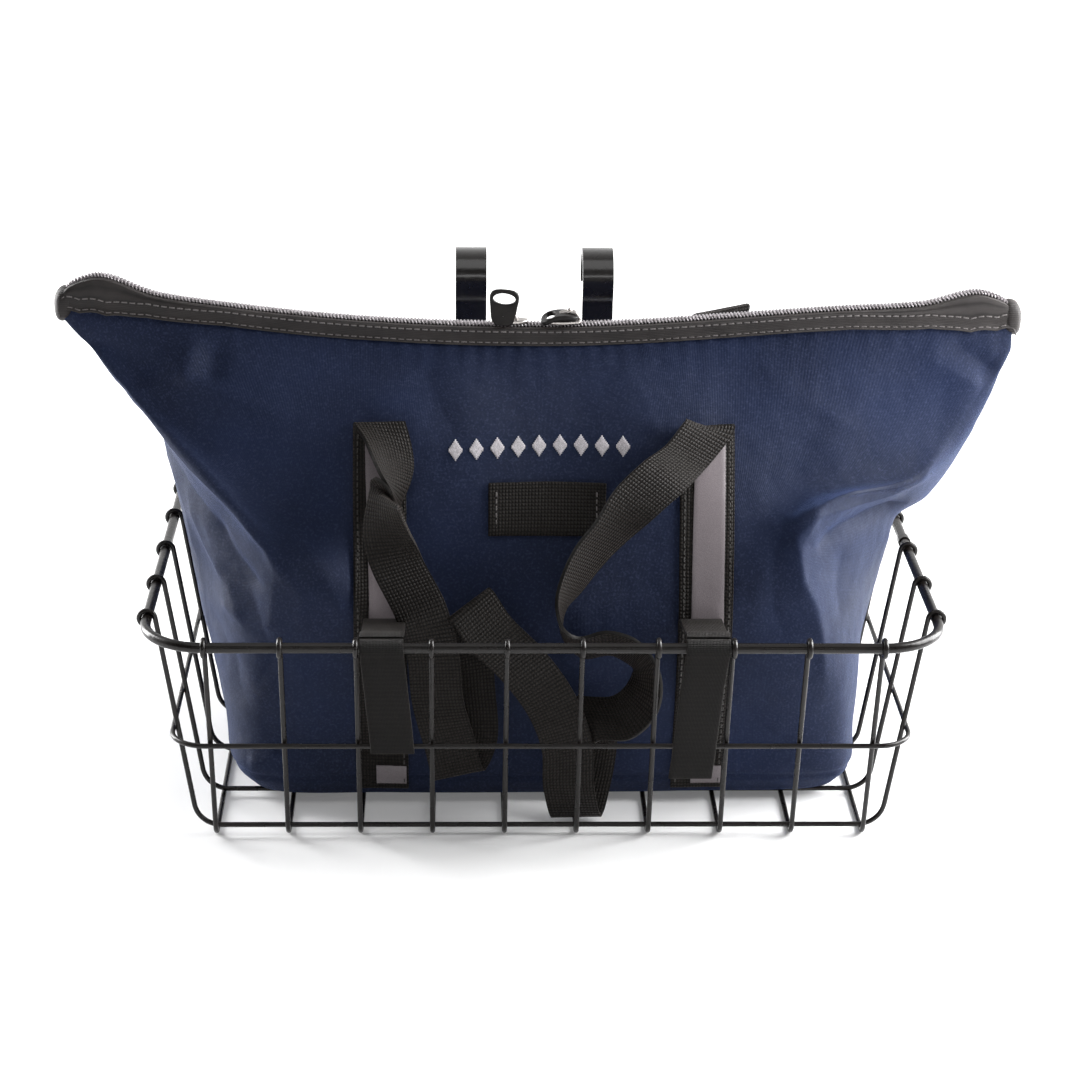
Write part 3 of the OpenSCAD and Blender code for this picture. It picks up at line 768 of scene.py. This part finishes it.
def binding_grid(side, downs=None):
    """Grid of points in mm on the binding, rows along its profile from its lower edge up, or
    at the given distances below the zip"""
    profile = np.array(BINDING_PROFILE, float)
    reach = along(profile[:, :2])
    if downs is None:
        wanted = np.linspace(reach[-1], 0, BINDING_ROWS)
    else:
        wanted = np.interp(downs, profile[3:, 1], reach[3:])
    cut = TIP_CLEAR / ZIP_RUN[-1]
    points = zip_at(np.linspace(cut, 1 - cut, BINDING_COLUMNS))
    plumb = np.clip((np.abs(points[:, 0]) - PLUMB_FROM) / (PLUMB_FULL - PLUMB_FROM), 0, 1)[:, None]
    down = np.array([0, -1.0]) * plumb - square_to(points) * (1 - plumb)
    down /= np.linalg.norm(down, axis=1)[:, None]
    stretch = binding_height(points[:, 0]) - BINDING_H
    wave, ripple = (np.array([noise.noise(Vector((x / size, seed * side, 0)))
                              for x in points[:, 0]]) for size, seed in ((22, 3.3), (7, 9.1)))
    grid = np.zeros((len(wanted), BINDING_COLUMNS, 3))
    for row, at_reach in enumerate(wanted):
        out, low, share_down = (np.interp(at_reach, reach, profile[:, k]) for k in range(3))
        depth = low + stretch * share_down
        loose = np.clip((low - 4) / 6, 0, 1)
        grid[row, :, 0] = points[:, 0] + down[:, 0] * depth
        grid[row, :, 2] = points[:, 1] + down[:, 1] * depth + 0.35 * wave * loose
        grid[row, :, 1] = BAG_Y + side * (out + (0.7 * wave + 0.22 * ripple) * loose)
    return grid


def binding_piece(side):
    """Tape and binding on the front (-1) or rear (1), with its two rows of stitches"""
    name = "zip_tape_front" if side < 0 else "zip_tape_rear"
    grid = binding_grid(side)
    if side > 0:
        grid = grid[:, ::-1]
    cloth = slab_piece(name + "_binding", at(grid), BINDING_T * MM, BINDING)
    finished(cloth, "bag", "binding", name)
    rows = []
    for down in STITCH_ROWS:
        line = binding_grid(side, downs=[down])[0]
        line[:, 1] += side * STITCH_OUT
        rows.append(dashes(at(line), *(size * MM for size in BINDING_STITCH)))
    verts, faces = joined(rows)
    finished(mesh_piece(name + "_stitches", verts, faces, GREY_THREAD), "bag", "binding")


TAB_MIDDLE = 3.0        # from the ear's tip in to the middle of the end tab
TAB_SIZE = (5.0, 7.6, 8.8)      # its half length, half thickness and half height
TAB_SQUARE = 2.5        # 2 is an ellipsoid, more is squarer
TAB_DROOP = 0.25        # how steeply it falls outwards
TAB_LUMPS = 0.035
TAB_UP = {-1: -5.2, 1: -3.2}    # how high its middle is above the zip's end on each ear


def end_tab(side):
    """Plump fold of cloth sewn round the zip's end, on the left (-1) or right (1) ear"""
    name = "zip_end_tab_left" if side < 0 else "zip_end_tab_right"
    centre = np.array([side * (EAR - TAB_MIDDLE), BAG_Y,
                       zip_height(side * (EAR - 2)) + TAB_UP[side]])
    rows, columns = 28, 48
    up = np.linspace(-math.pi / 2, math.pi / 2, rows)[:, None]
    turn = np.linspace(0, 2 * math.pi, columns, endpoint=False)[None, :]
    ball = np.stack([np.cos(up) * np.cos(turn), np.cos(up) * np.sin(turn),
                     np.sin(up) * np.ones_like(turn)], axis=-1)
    power = np.sum(np.abs(ball) ** TAB_SQUARE, axis=-1, keepdims=True) ** (1 / TAB_SQUARE)
    shape = ball / power * np.array(TAB_SIZE)
    shape[..., 2] -= side * TAB_DROOP * shape[..., 0]
    shape *= 1 + TAB_LUMPS * rough_noise(shape + centre, 6, 2.2)[..., None]
    faces = grid_faces(rows, columns, closed=True)
    points = (shape + centre).reshape(-1, 3)
    uv = points[:, [0, 2]] * MM
    return mesh_piece(name, at(points), faces, BINDING, uv)


for side in (-1, 1):
    coil_piece(side)
    binding_piece(side)
    finished(end_tab(side), "bag", "binding", *(["zip_end_tabs"] if side < 0 else []))


# ---- Bands, reflective tape, patch and motif ----

def strip_on_bag(name, foot, top, low, high, lift, thickness, cloth, side=-1, columns=14):
    """Strip that lies on the bag: foot and top give (left, right) x in mm at its two ends"""
    across = list(zip(np.linspace(*foot, columns), np.linspace(*top, columns)))
    if side > 0:
        across = across[::-1]
    rows = max(8, int((high - low) / 2.2))
    grid = on_bag(across, np.linspace(low, high, rows), side)
    return slab_piece(name, grid, thickness * MM, cloth, lift * MM)


BAG_STITCH = (3.4, 2.2, 0.4)    # pitch, length and radius of the stitches on the bag


def stitches_on_bag(name, lines, lift, slot, cloth, side=-1):
    """Rows of stitches on the bag, each from one (x, z) to another in mm"""
    rows = []
    for (x0, z0), (x1, z1) in lines:
        count = max(6, int(math.hypot(x1 - x0, z1 - z0) / 3))
        share = np.linspace(0, 1, count)
        line = np.array([bag_face(x0 + s * (x1 - x0), z0 + s * (z1 - z0), side) for s in share])
        line[:, 1] = np.convolve(np.pad(line[:, 1], 2, mode="edge"), np.ones(5) / 5, "valid")
        line[:, 1] += side * lift
        rows.append(dashes(at(line), *(size * MM for size in BAG_STITCH)))
    verts, faces = joined(rows)
    return finished(mesh_piece(name, verts, faces, cloth), "bag", slot)


BAND_LOW = 9
BAND_HIGH = 189
BAND_LIFT = 0.3
BAND_T = 1.3
BAND_EDGE = 2.2         # from a band's edge in to its stitches
TAPE_LIFT = BAND_LIFT + BAND_T + 0.05
TAPE_T = 0.5

# Each band: its x at the foot and at the top, then the same for its reflective tape
BANDS = {"left": ((-91, -65), (-92, -66), (-84, -69), (-86, -71)),
         "right": ((66, 92), (68, 95), (73, 89), (75, 90))}
TAPE_LOW = 97
TAPE_HIGH = 186

for where, (foot, top, tape_foot, tape_top) in BANDS.items():
    for end, side in (("front", -1), ("rear", 1)):
        band = strip_on_bag(f"{end}_band_{where}_webbing", foot, top, BAND_LOW, BAND_HIGH,
                            BAND_LIFT, BAND_T, WEBBING, side)
        finished(band, "bag", "webbing", f"{end}_band_{where}")
        lines = []
        for edge, inset in ((0, BAND_EDGE), (1, -BAND_EDGE)):
            lines.append(((foot[edge] + inset, BAND_LOW + 2), (top[edge] + inset, BAND_HIGH - 2)))
        lines.append(((top[0] + 3, BAND_HIGH - 2.5), (top[1] - 3, BAND_HIGH - 2.5)))
        stitches_on_bag(f"{end}_band_{where}_stitches", lines, BAND_LIFT + BAND_T + 0.1, "webbing",
                        DARK_THREAD, side)
        tape = strip_on_bag(f"{end}_reflector_{where}_tape", tape_foot, tape_top, TAPE_LOW,
                            TAPE_HIGH, TAPE_LIFT, TAPE_T, TAPE, side, 8)
        finished(tape, "bag", "reflective_tape", f"{end}_reflector_{where}")
        foot_tape = strip_on_bag(f"{end}_foot_tape_{where}", (foot[1] - 16, foot[1] - 1),
                                 (foot[1] - 16, foot[1] - 1), 12, 22, TAPE_LIFT, TAPE_T, TAPE,
                                 side, 8)
        finished(foot_tape, "bag", "reflective_tape")

PATCH = (-26, 31, 139.5, 163.5)
PATCH_LIFT = 0.5
PATCH_T = 1.5
patch = strip_on_bag("light_patch_webbing", PATCH[:2], (PATCH[0], PATCH[1] + 1), PATCH[2],
                     PATCH[3], PATCH_LIFT, PATCH_T, WEBBING, columns=24)
finished(patch, "bag", "webbing", "light_patch")
stitches_on_bag("light_patch_stitches",
                [((PATCH[0] + 4, PATCH[2] + 1), (PATCH[0] + 4, PATCH[3] - 1)),
                 ((PATCH[1] - 4, PATCH[2] + 1), (PATCH[1] - 4, PATCH[3] - 1))],
                PATCH_LIFT + PATCH_T + 0.15, "webbing", GREY_THREAD)

MOTIF_FROM = (-42, 178)
MOTIF_TO = (40, 180)
MOTIF_COUNT = 9
MOTIF_H = 8.4
MOTIF_W = 6.6
SATIN_PITCH = 0.6


def motif():
    """Row of small embroidered diamonds, each filled with upright satin stitches"""
    parts = []
    for k in range(MOTIF_COUNT):
        share = k / (MOTIF_COUNT - 1)
        cx = MOTIF_FROM[0] + share * (MOTIF_TO[0] - MOTIF_FROM[0])
        cz = MOTIF_FROM[1] + share * (MOTIF_TO[1] - MOTIF_FROM[1])
        for dx in np.arange(-MOTIF_W / 2 + 0.3, MOTIF_W / 2, SATIN_PITCH):
            half = MOTIF_H / 2 * (1 - abs(dx) / (MOTIF_W / 2)) + 0.3
            line = np.array([bag_face(cx + dx, cz + t * half) for t in np.linspace(-1, 1, 7)])
            line[:, 1] -= 0.45 * (1 - np.linspace(-1, 1, 7) ** 2) + 0.1
            parts.append(tube(at(line), 0.36 * MM, 6))
    verts, faces = joined(parts)
    finished(mesh_piece("front_motif", verts, faces, WHITE_THREAD), "bag", "navy_cloth")


motif()


# ---- Webbing handles ----

HANDLE_W = 25
HANDLE_T = 1.7
HANDLE_CLEAR = 2.6      # the slack front handle stays this far off the bag
CLEAR_LOW = 7           # between these heights
CLEAR_HIGH = 190
TURN_WEIGHT = 8.0       # how much a turn of the webbing counts beside its length, in mm

# The front handle's two edges, from the left band down, up into a fold, down again into the
# hanging loop, and up by way of a curl to the right band
FRONT_HANDLE = [
    ((-92, -25, 191), (-66, -24, 192)), ((-85, -35, 185), (-63, -30, 176)),
    ((-77, -45, 175), (-66, -32, 166)), ((-73, -52, 168), (-70, -34, 154)),
    ((-82, -60, 164), (-70, -76, 166)), ((-86, -62, 150), (-64, -74, 154)),
    ((-82, -70, 132), (-58, -68, 138)), ((-70, -78, 110), (-47, -77, 118)),
    ((-65, -80, 91), (-40, -80, 92)), ((-63, -80, 68), (-38, -80, 69)),
    ((-57, -80, 44), (-33, -77, 48)), ((-51, -76, 24), (-28, -74, 28)),
    ((-46, -72, 40), (-22, -70, 40)), ((-48, -68, 70), (-22, -67, 72)),
    ((-48, -72, 98), (-26, -69, 108)), ((-45, -80, 110), (-25, -75, 125)),
    ((-35, -84, 96), (-15, -78, 112)), ((-20, -86, 82), (0, -81, 96)),
    ((-7, -87, 64), (15, -86, 76)), ((0, -86, 44), (25, -85, 49)),
    ((1, -84, 22), (27, -84, 22)), ((7, -79, 5), (30, -76, 4)),
    ((10, -72, 18), (35, -71, 18)), ((17, -72, 40), (36, -72, 52)),
    ((28, -86, 50), (18, -72, 66)), ((42, -91, 54), (34, -75, 66)),
    ((53, -92, 69), (43, -78, 72)), ((55, -90, 86), (46, -74, 79)),
    ((46, -84, 99), (45, -72, 84)), ((32, -80, 103), (34, -67, 88)),
    ((18, -78, 100), (20, -64, 86)), ((9, -78, 108), (10, -61, 98)),
    ((7, -76, 118), (11, -58, 109)), ((9, -70, 126), (18, -54, 117)),
    ((16, -66, 141), (30, -52, 130)), ((26, -62, 154), (43, -50, 142)),
    ((37, -56, 170), (56, -54, 156)), ((48, -50, 180), (68, -50, 165)),
    ((60, -40, 186), (81, -34, 172)), ((70, -30, 195), (92, -26, 184)),
    ((70, -23, 188), (95, -22, 190)),
]

# The rear handle's middle line with its roll in degrees; it hangs down behind the bag
REAR_HANDLE = [
    (-79, 58, 184, 0), (-79, 62, 196, 0), (-78, 70, 204, 0), (-76, 79, 196, -6),
    (-66, 90, 168, -22), (-46, 95, 138, -45), (-20, 97, 118, -72), (18, 97, 116, -108),
    (44, 95, 138, -136), (64, 90, 170, -158), (82, 82, 200, -176), (94, 72, 220, -190),
    (97, 63, 223, -193), (90, 58, 206, -186), (81, 57, 184, -180),
]


def ribbon_grid(middles, sides, rows, columns, clear=None):
    """Grid of points in mm for webbing whose middle line and side vectors are given"""
    middles = np.asarray(middles, float)
    sides = np.asarray(sides, float)
    sides /= np.linalg.norm(sides, axis=1)[:, None]
    knots = along(middles) + TURN_WEIGHT * along(sides)
    where = np.linspace(0, knots[-1], rows)
    middle = curve_through(knots, middles, where)
    side = curve_through(knots, sides, where)
    side /= np.linalg.norm(side, axis=1)[:, None]
    across = np.linspace(-HANDLE_W / 2, HANDLE_W / 2, columns)
    grid = middle[:, None] + side[:, None] * across[None, :, None]
    if clear is not None:
        push = np.zeros(grid.shape[:2])
        for i in range(rows):
            for j in range(columns):
                x, y, z = grid[i, j]
                if CLEAR_LOW < z < CLEAR_HIGH:
                    push[i, j] = min(0, bag_face(x, z)[1] - clear - y)
        push = push.min(axis=1)
        push = np.convolve(np.pad(push, 4, mode="edge"), np.ones(9) / 9, "valid")
        grid[..., 1] += push[:, None]
    return grid


def handle_piece(name, grid, replaced):
    """Webbing on a grid of points in mm"""
    piece = slab_piece(name, at(grid), HANDLE_T * MM, WEBBING, -HANDLE_T / 2 * MM)
    return finished(piece, "bag", "webbing", replaced)


edges = np.array(FRONT_HANDLE, float)
handle_piece("front_handle_webbing", ribbon_grid(edges.mean(axis=1), edges[:, 1] - edges[:, 0], 420,
                                                 11, HANDLE_CLEAR), "front_handle")
rear = np.array(REAR_HANDLE, float)
roll = np.radians(rear[:, 3])
rear_sides = np.stack([np.cos(roll), np.zeros(len(roll)), -np.sin(roll)], axis=1)
handle_piece("rear_handle_webbing", ribbon_grid(rear[:, :3], rear_sides, 220, 11), "rear_handle")


# ---- Straps over the rim ----

STRAP_W = 20.5
STRAP_T = 1.3
STRAP_X = 76
STRAP_ROWS = 60
STRAP_COLUMNS = 9
RIM_Y = (RIM_LOW.y - BASKET_Y) / MM
RIM_Z = (RIM_LOW.z + RIM_HIGH.z) / 2 / MM
RIM_HALF = (RIM_HIGH.z - RIM_LOW.z) / 2 / MM


def strap_grid(path, shifts):
    """Grid in metres of a strap whose side view is a path of (y, z); shifts are its middle's x"""
    path = np.asarray(path, float)
    knots = along(path)
    where = np.linspace(0, knots[-1], STRAP_ROWS)
    line = curve_through(knots, path, where)
    middle = np.interp(where, knots, shifts)
    across = np.linspace(-STRAP_W / 2, STRAP_W / 2, STRAP_COLUMNS)
    grid = np.zeros((STRAP_ROWS, STRAP_COLUMNS, 3))
    grid[..., 0] = middle[:, None] + across
    grid[..., 1] = line[:, 0][:, None]
    grid[..., 2] = line[:, 1][:, None]
    return at(grid)


def rim_point(degrees, off):
    """(y, z) on a circle round the rim wire; 90 degrees is its top and 180 its front"""
    a = math.radians(degrees)
    r = RIM_HALF + off
    return (RIM_Y + RIM_HALF + r * math.cos(a), RIM_Z + r * math.sin(a))


def rim_straps():
    """Each strap: a bridge from the bag to the rim, then the hanging end that flips up"""
    off = 0.6
    for where, side, foot_x, drop, slant in (("left", -1, -75, 52, 5), ("right", 1, 76, 65, -7)):
        root = bag_face(side * STRAP_X, 102)[1] - BAND_LIFT - BAND_T - TAPE_T - 0.5
        bridge = [(root + 0.3, 96), (root - 0.2, 101), (root - 5, 104.5), (root - 22, 108.5),
                  (root - 42, 113), rim_point(62, off + 1.2), rim_point(84, off + 0.3)]
        grid = strap_grid(bridge, [foot_x + side] * 5 + [side * STRAP_X] * 2)
        piece = slab_piece(f"strap_bridge_{where}_tape", grid[::-1], STRAP_T * MM, STRAP)
        finished(piece, "bag", "tie_strap", f"strap_bridge_{where}")
        low = RIM_Z - drop
        tail = [rim_point(97, off), rim_point(115, off), rim_point(140, off), rim_point(165, off),
                (RIM_Y - off, RIM_Z - 4), (RIM_Y - off - 0.4, RIM_Z - 20),
                (RIM_Y - off - 0.2, low + 12), (RIM_Y - off - 0.9, low)]
        x = [side * STRAP_X] * 4 + [side * STRAP_X + slant * s for s in (0.1, 0.4, 0.8, 1.0)]
        grid = strap_grid(tail, x)
        piece = slab_piece(f"rim_strap_{where}_tape", grid[::-1], STRAP_T * MM, STRAP)
        finished(piece, f"rim_strap_{where}", "tie_strap", f"rim_strap_{where}")


rim_straps()


# ---- Zip sliders and pulls ----

ZIP_RISE = math.atan2(zip_height(140) - zip_height(20), 120)
SLIDER_X = 6.5          # from the zip's middle out to a slider's nose
SLIDER_L = 18
SLIDER_W = 8.6
CAP_T = 1.7
CAP_Z = 1.35            # height of the cap's middle over the zip's line, at its edges
CAP_CROWN = 0.5         # how much higher it is along its middle
SOLE_T = 1.5
SOLE_Z = -4.6
ARCH_WIRE = 0.85        # radius of each of the three rods that the arch is made of
PIVOT_X = 19            # where the pull's link turns
PIVOT_Z = 4.2
RIGHT_IN = 4.0          # the right slider rests this much nearer the middle


def on_zip(points, side):
    """Points in mm along, across and up from the zip's middle, as metres in the row frame"""
    p = np.asarray(points, float)
    base = zip_height(60) - 60 * math.tan(ZIP_RISE)
    x = side * (p[..., 0] * math.cos(ZIP_RISE) - p[..., 2] * math.sin(ZIP_RISE))
    z = base + p[..., 0] * math.sin(ZIP_RISE) + p[..., 2] * math.cos(ZIP_RISE)
    return at(np.stack([x, BAG_Y + p[..., 1], z], axis=-1))


def plate(outline, thickness, bevel, hole=None):
    """Vertices in mm and faces of a flat plate with rounded edges and perhaps a hole"""
    curve = bpy.data.curves.new("plate", "CURVE")
    curve.dimensions = "2D"
    curve.fill_mode = "BOTH"
    curve.extrude = thickness / 2 - bevel
    curve.bevel_depth = bevel
    curve.bevel_resolution = 2
    curve.offset = -bevel
    for loop in ([outline, hole] if hole is not None else [outline]):
        spline = curve.splines.new("POLY")
        spline.points.add(len(loop) - 1)
        for point, (x, y) in zip(spline.points, loop):
            point.co = (x, y, 0, 1)
        spline.use_cyclic_u = True
    holder = bpy.data.objects.new("plate", curve)
    bpy.context.scene.collection.objects.link(holder)
    mesh = bpy.data.meshes.new_from_object(holder.evaluated_get(
        bpy.context.evaluated_depsgraph_get()))
    verts = np.array([tuple(v.co) for v in mesh.vertices])
    faces = [tuple(f.vertices) for f in mesh.polygons]
    bpy.data.objects.remove(holder)
    bpy.data.curves.remove(curve)
    bpy.data.meshes.remove(mesh)
    return verts, faces


def oval(cx, cy, rx, ry):
    """Points round an ellipse"""
    turn = np.linspace(0, 2 * math.pi, 40, endpoint=False)
    return [(cx + rx * math.cos(a), cy + ry * math.sin(a)) for a in turn]


def slider_piece(where, side):
    """Slider: crowned cap with a narrow nose, a sole under the coils, and an arch for the pull"""
    end = SLIDER_X + SLIDER_L
    half = SLIDER_W / 2
    edge = [(SLIDER_X, 2.2), (SLIDER_X + 4, 3.4), (SLIDER_X + 9, half), (end - 1, half),
            (end, half - 1)]
    outline = [(SLIDER_X, -2.2)] + edge + [(x, -y) for x, y in edge[:0:-1]]
    top, top_faces = plate(outline, CAP_T, 0.5)
    top[:, 2] += CAP_Z + CAP_CROWN * (1 - (top[:, 1] / half) ** 2)
    sole, sole_faces = plate(outline, SOLE_T, 0.4)
    sole[:, 2] += SOLE_Z
    parts = [(top, top_faces), (sole, sole_faces)]
    turn = np.linspace(0, math.pi, 25)
    for y in (-1.3, 0, 1.3):
        line = np.stack([PIVOT_X - 1.2 + 6.0 * np.cos(turn), np.full(25, y),
                         1.2 + 5.0 * np.sin(turn) ** 0.8], 1)
        parts.append(tube(line, ARCH_WIRE, 8))
    verts, faces = joined(parts)
    if side < 0:
        faces = [f[::-1] for f in faces]
    else:
        verts = verts - np.array([RIGHT_IN, 0, 0])
    piece = mesh_piece(f"slider_{where}_body", on_zip(verts, side), faces, NICKEL)
    finished(piece, f"slider_{where}", "slider_metal", f"slider_{where}")


LINK_R = 0.75
LINK_BAR_R = 0.7
# Right half of the tab's outline, up from its foot
TAB_HALF = [(3.2, -3.4), (5.0, -2.0), (6.0, 0.8), (6.4, 3.2), (6.8, 6.6), (7.3, 9.6),
            (7.3, 11.8), (6.4, 13.7), (4.6, 14.7), (2.0, 15.1)]
TAB_OUTLINE = TAB_HALF + [(-x, y) for x, y in TAB_HALF[::-1]]
TAB_EYE = (0, 10.4, 5.5, 2.8)           # its middle and its two half widths
TAB_T = 2.6
TAB_ROUND = 0.7
TAB_FOOT = -0.6         # from the pivot up to the outline's zero


def pull_piece(where, side, swing, twist, droop, forward, legs):
    """Pull: wire loop through the slider's arch, and a moulded tab with an oval eye.

    The tab leans by swing, turns by twist and curls down by droop, in degrees, and stands
    forward mm in front of the zip; legs are the places of the loop's two ends across it."""
    a, b = math.radians(swing), math.radians(twist)
    pivot = PIVOT_X - (RIGHT_IN if side > 0 else 0)

    def place(points):
        p = np.asarray(points, float)
        out = p[:, 2]
        p = np.stack([p[:, 0] * math.cos(b) - p[:, 1] * math.sin(b),
                      p[:, 0] * math.sin(b) + p[:, 1] * math.cos(b), out], 1)
        bent = a + np.radians(droop) * np.clip(out / 25, 0, 1.2)
        x = p[:, 0] * np.cos(bent) + out * np.sin(bent)
        z = -p[:, 0] * np.sin(bent) + out * np.cos(bent)
        return on_zip(np.stack([pivot + x, p[:, 1] - forward, PIVOT_Z + z], 1), side)

    near, far = legs
    ends = [[(0, y + dip, 0.2), (0, y, 1.5), (0, y, TAB_FOOT + 1.5)]
            for y, dip in ((near, 0.3), (far, -0.3))]
    bar = [(0, near, 0.2), (0, forward, -0.2), (0, far, 0.2)]
    verts, faces = joined([tube(end, LINK_R, 8) for end in ends] + [tube(bar, LINK_BAR_R, 8)])
    flip = [f[::-1] for f in faces] if side < 0 else faces
    wire = mesh_piece(f"pull_link_{where}_wire", place(verts), flip, NICKEL)
    finished(wire, f"pull_{where}", "slider_metal", f"pull_link_{where}")
    flat, faces = plate(TAB_OUTLINE, TAB_T, TAB_ROUND, oval(*TAB_EYE))
    verts = np.stack([flat[:, 0], flat[:, 2], flat[:, 1] + TAB_FOOT], 1)
    flip = faces if side < 0 else [f[::-1] for f in faces]
    tab = mesh_piece(f"pull_tab_{where}_moulding", place(verts), flip, RUBBER)
    finished(tab, f"pull_{where}", "pull_rubber", f"pull_tab_{where}")


slider_piece("left", -1)
slider_piece("right", 1)
pull_piece("left", -1, 0, 4, 0, 5.8, (-0.6, 8.6))
pull_piece("right", 1, -74, 90, -44, 0.6, (-3.2, 3.2))


# ---- Finishes on the CAD parts that are kept ----

KEPT = {"top_rim": WIRE, "middle_ring": WIRE, "hook_left": HOOK_COAT, "hook_right": HOOK_COAT,
        "clip_plates": HOOK_COAT, "clip_screws": ZINC, "clip_nuts": ZINC, "base_board": BOARD}
for name, node in frame["nodes"].items():
    coat = WIRE if name.startswith(("long_wire", "cross_wire")) else KEPT.get(name)
    if coat is not None:
        node.data.materials[0] = coat


# ---- Floor, light and camera ----

LIT_FROM = 0.26         # the floor's glow grows from this far off the middle
LIT_TO = 1.1            # to here
LIT_LEAST = 0.12        # from this strength
LIT_MOST = 0.8          # to this one
FLOOR_HALF = 6.0


def floor():
    """Wide pale floor that glows white away from the basket"""
    white = material("floor", (0.86, 0.86, 0.87), 0.7, Emission_Color=(1.0, 1.0, 1.0))
    n = Nodes(white)
    n.paint(n.mix(n.noise(3, 2), (0.86, 0.86, 0.87), (0.89, 0.89, 0.89)))
    away = n.add("ShaderNodeVectorMath", {"operation": "LENGTH"}, Vector=n.place())
    n.feed(n.range(away.outputs["Value"], LIT_FROM, LIT_TO, LIT_LEAST, LIT_MOST),
           n.shader.inputs["Emission Strength"])
    corners = [(x * FLOOR_HALF, y * FLOOR_HALF, 0) for x, y in ((-1, -1), (1, -1), (1, 1), (-1, 1))]
    mesh_piece("floor", corners, [(0, 1, 2, 3)], white, smooth=False)


def softbox(name, place, aim, size, watts):
    """Rectangular area light of a size (width, height), turned towards a point"""
    data = bpy.data.lights.new(name, "AREA")
    data.shape = "RECTANGLE"
    data.size, data.size_y = size
    data.energy = watts
    lamp = bpy.data.objects.new(name, data)
    bpy.context.scene.collection.objects.link(lamp)
    lamp.location = place
    lamp.rotation_mode = "QUATERNION"
    lamp.rotation_quaternion = (Vector(aim) - Vector(place)).to_track_quat("-Z", "Y")


# The world's light from front to rear: from and to which Y, and from and to which strength
WORLD_RAMP = (-0.15, 0.95, 0.06, 1.15)


def world():
    """White all round for the camera; as a light, bright behind and dim in front"""
    made = bpy.data.worlds.new("studio")
    made.use_nodes = True
    bpy.context.scene.world = made
    tree = made.node_tree
    tree.nodes.clear()
    kinds = ("TexCoord", "SeparateXYZ", "MapRange", "Background", "Background", "LightPath",
             "MixShader", "OutputWorld")
    where, split, ramp, light, seen, path, mix, out = (tree.nodes.new("ShaderNode" + kind)
                                                       for kind in kinds)
    seen.inputs["Strength"].default_value = 1.0
    for socket, value in zip(ramp.inputs[1:5], WORLD_RAMP):
        socket.default_value = value
    link = tree.links.new
    link(where.outputs["Generated"], split.inputs[0])
    link(split.outputs["Y"], ramp.inputs["Value"])
    link(ramp.outputs["Result"], light.inputs["Strength"])
    link(path.outputs["Is Camera Ray"], mix.inputs[0])
    link(light.outputs[0], mix.inputs[1])
    link(seen.outputs[0], mix.inputs[2])
    link(mix.outputs[0], out.inputs["Surface"])
    for node in (light, seen):
        node.inputs["Color"].default_value = (1, 1, 1, 1)


CAMERA_PLACE = (-0.0399, -1.3068, 0.6238)
CAMERA_DOWN = 21.24     # degrees below level
CAMERA_TURN = 1.80      # degrees to the right of straight ahead
CAMERA_ROLL = 0.77
CAMERA_LENS = 91.56     # on a sensor 36 mm wide


def camera():
    """Camera in front of the basket and above it, looking down"""
    data = bpy.data.cameras.new("camera")
    data.sensor_width = 36
    data.lens = CAMERA_LENS
    made = bpy.data.objects.new("camera", data)
    bpy.context.scene.collection.objects.link(made)
    down, turn, roll = (math.radians(a) for a in (CAMERA_DOWN, CAMERA_TURN, CAMERA_ROLL))
    ahead = Vector((math.sin(turn) * math.cos(down), math.cos(turn) * math.cos(down),
                    -math.sin(down)))
    right = Vector((math.cos(turn), -math.sin(turn), 0))
    up = right.cross(ahead)
    side = right * math.cos(roll) + up * math.sin(roll)
    top = up * math.cos(roll) - right * math.sin(roll)
    turned = Matrix((side, top, -ahead)).transposed().to_4x4()
    made.matrix_world = Matrix.Translation(CAMERA_PLACE) @ turned
    bpy.context.scene.camera = made


floor()
world()
softbox("top", (-0.05, -0.35, 1.25), (0, 0, 0.15), (1.1, 0.8), 3.0)
softbox("left_rim", (-1.15, 0.55, 0.45), (0, 0, 0.12), (0.5, 1.0), 30)
softbox("right_rim", (1.05, 0.30, 0.55), (0, 0, 0.12), (0.6, 1.0), 34)
softbox("right_ear", (0.42, -0.14, 0.32), (0.2, 0.0, 0.21), (0.14, 0.3), 2.0)
softbox("front_strip", (0, -1.5, 0.75), (0, 0, 0.15), (1.4, 0.14), 2.0)
camera()
bpy.context.scene.view_settings.view_transform = "Standard"
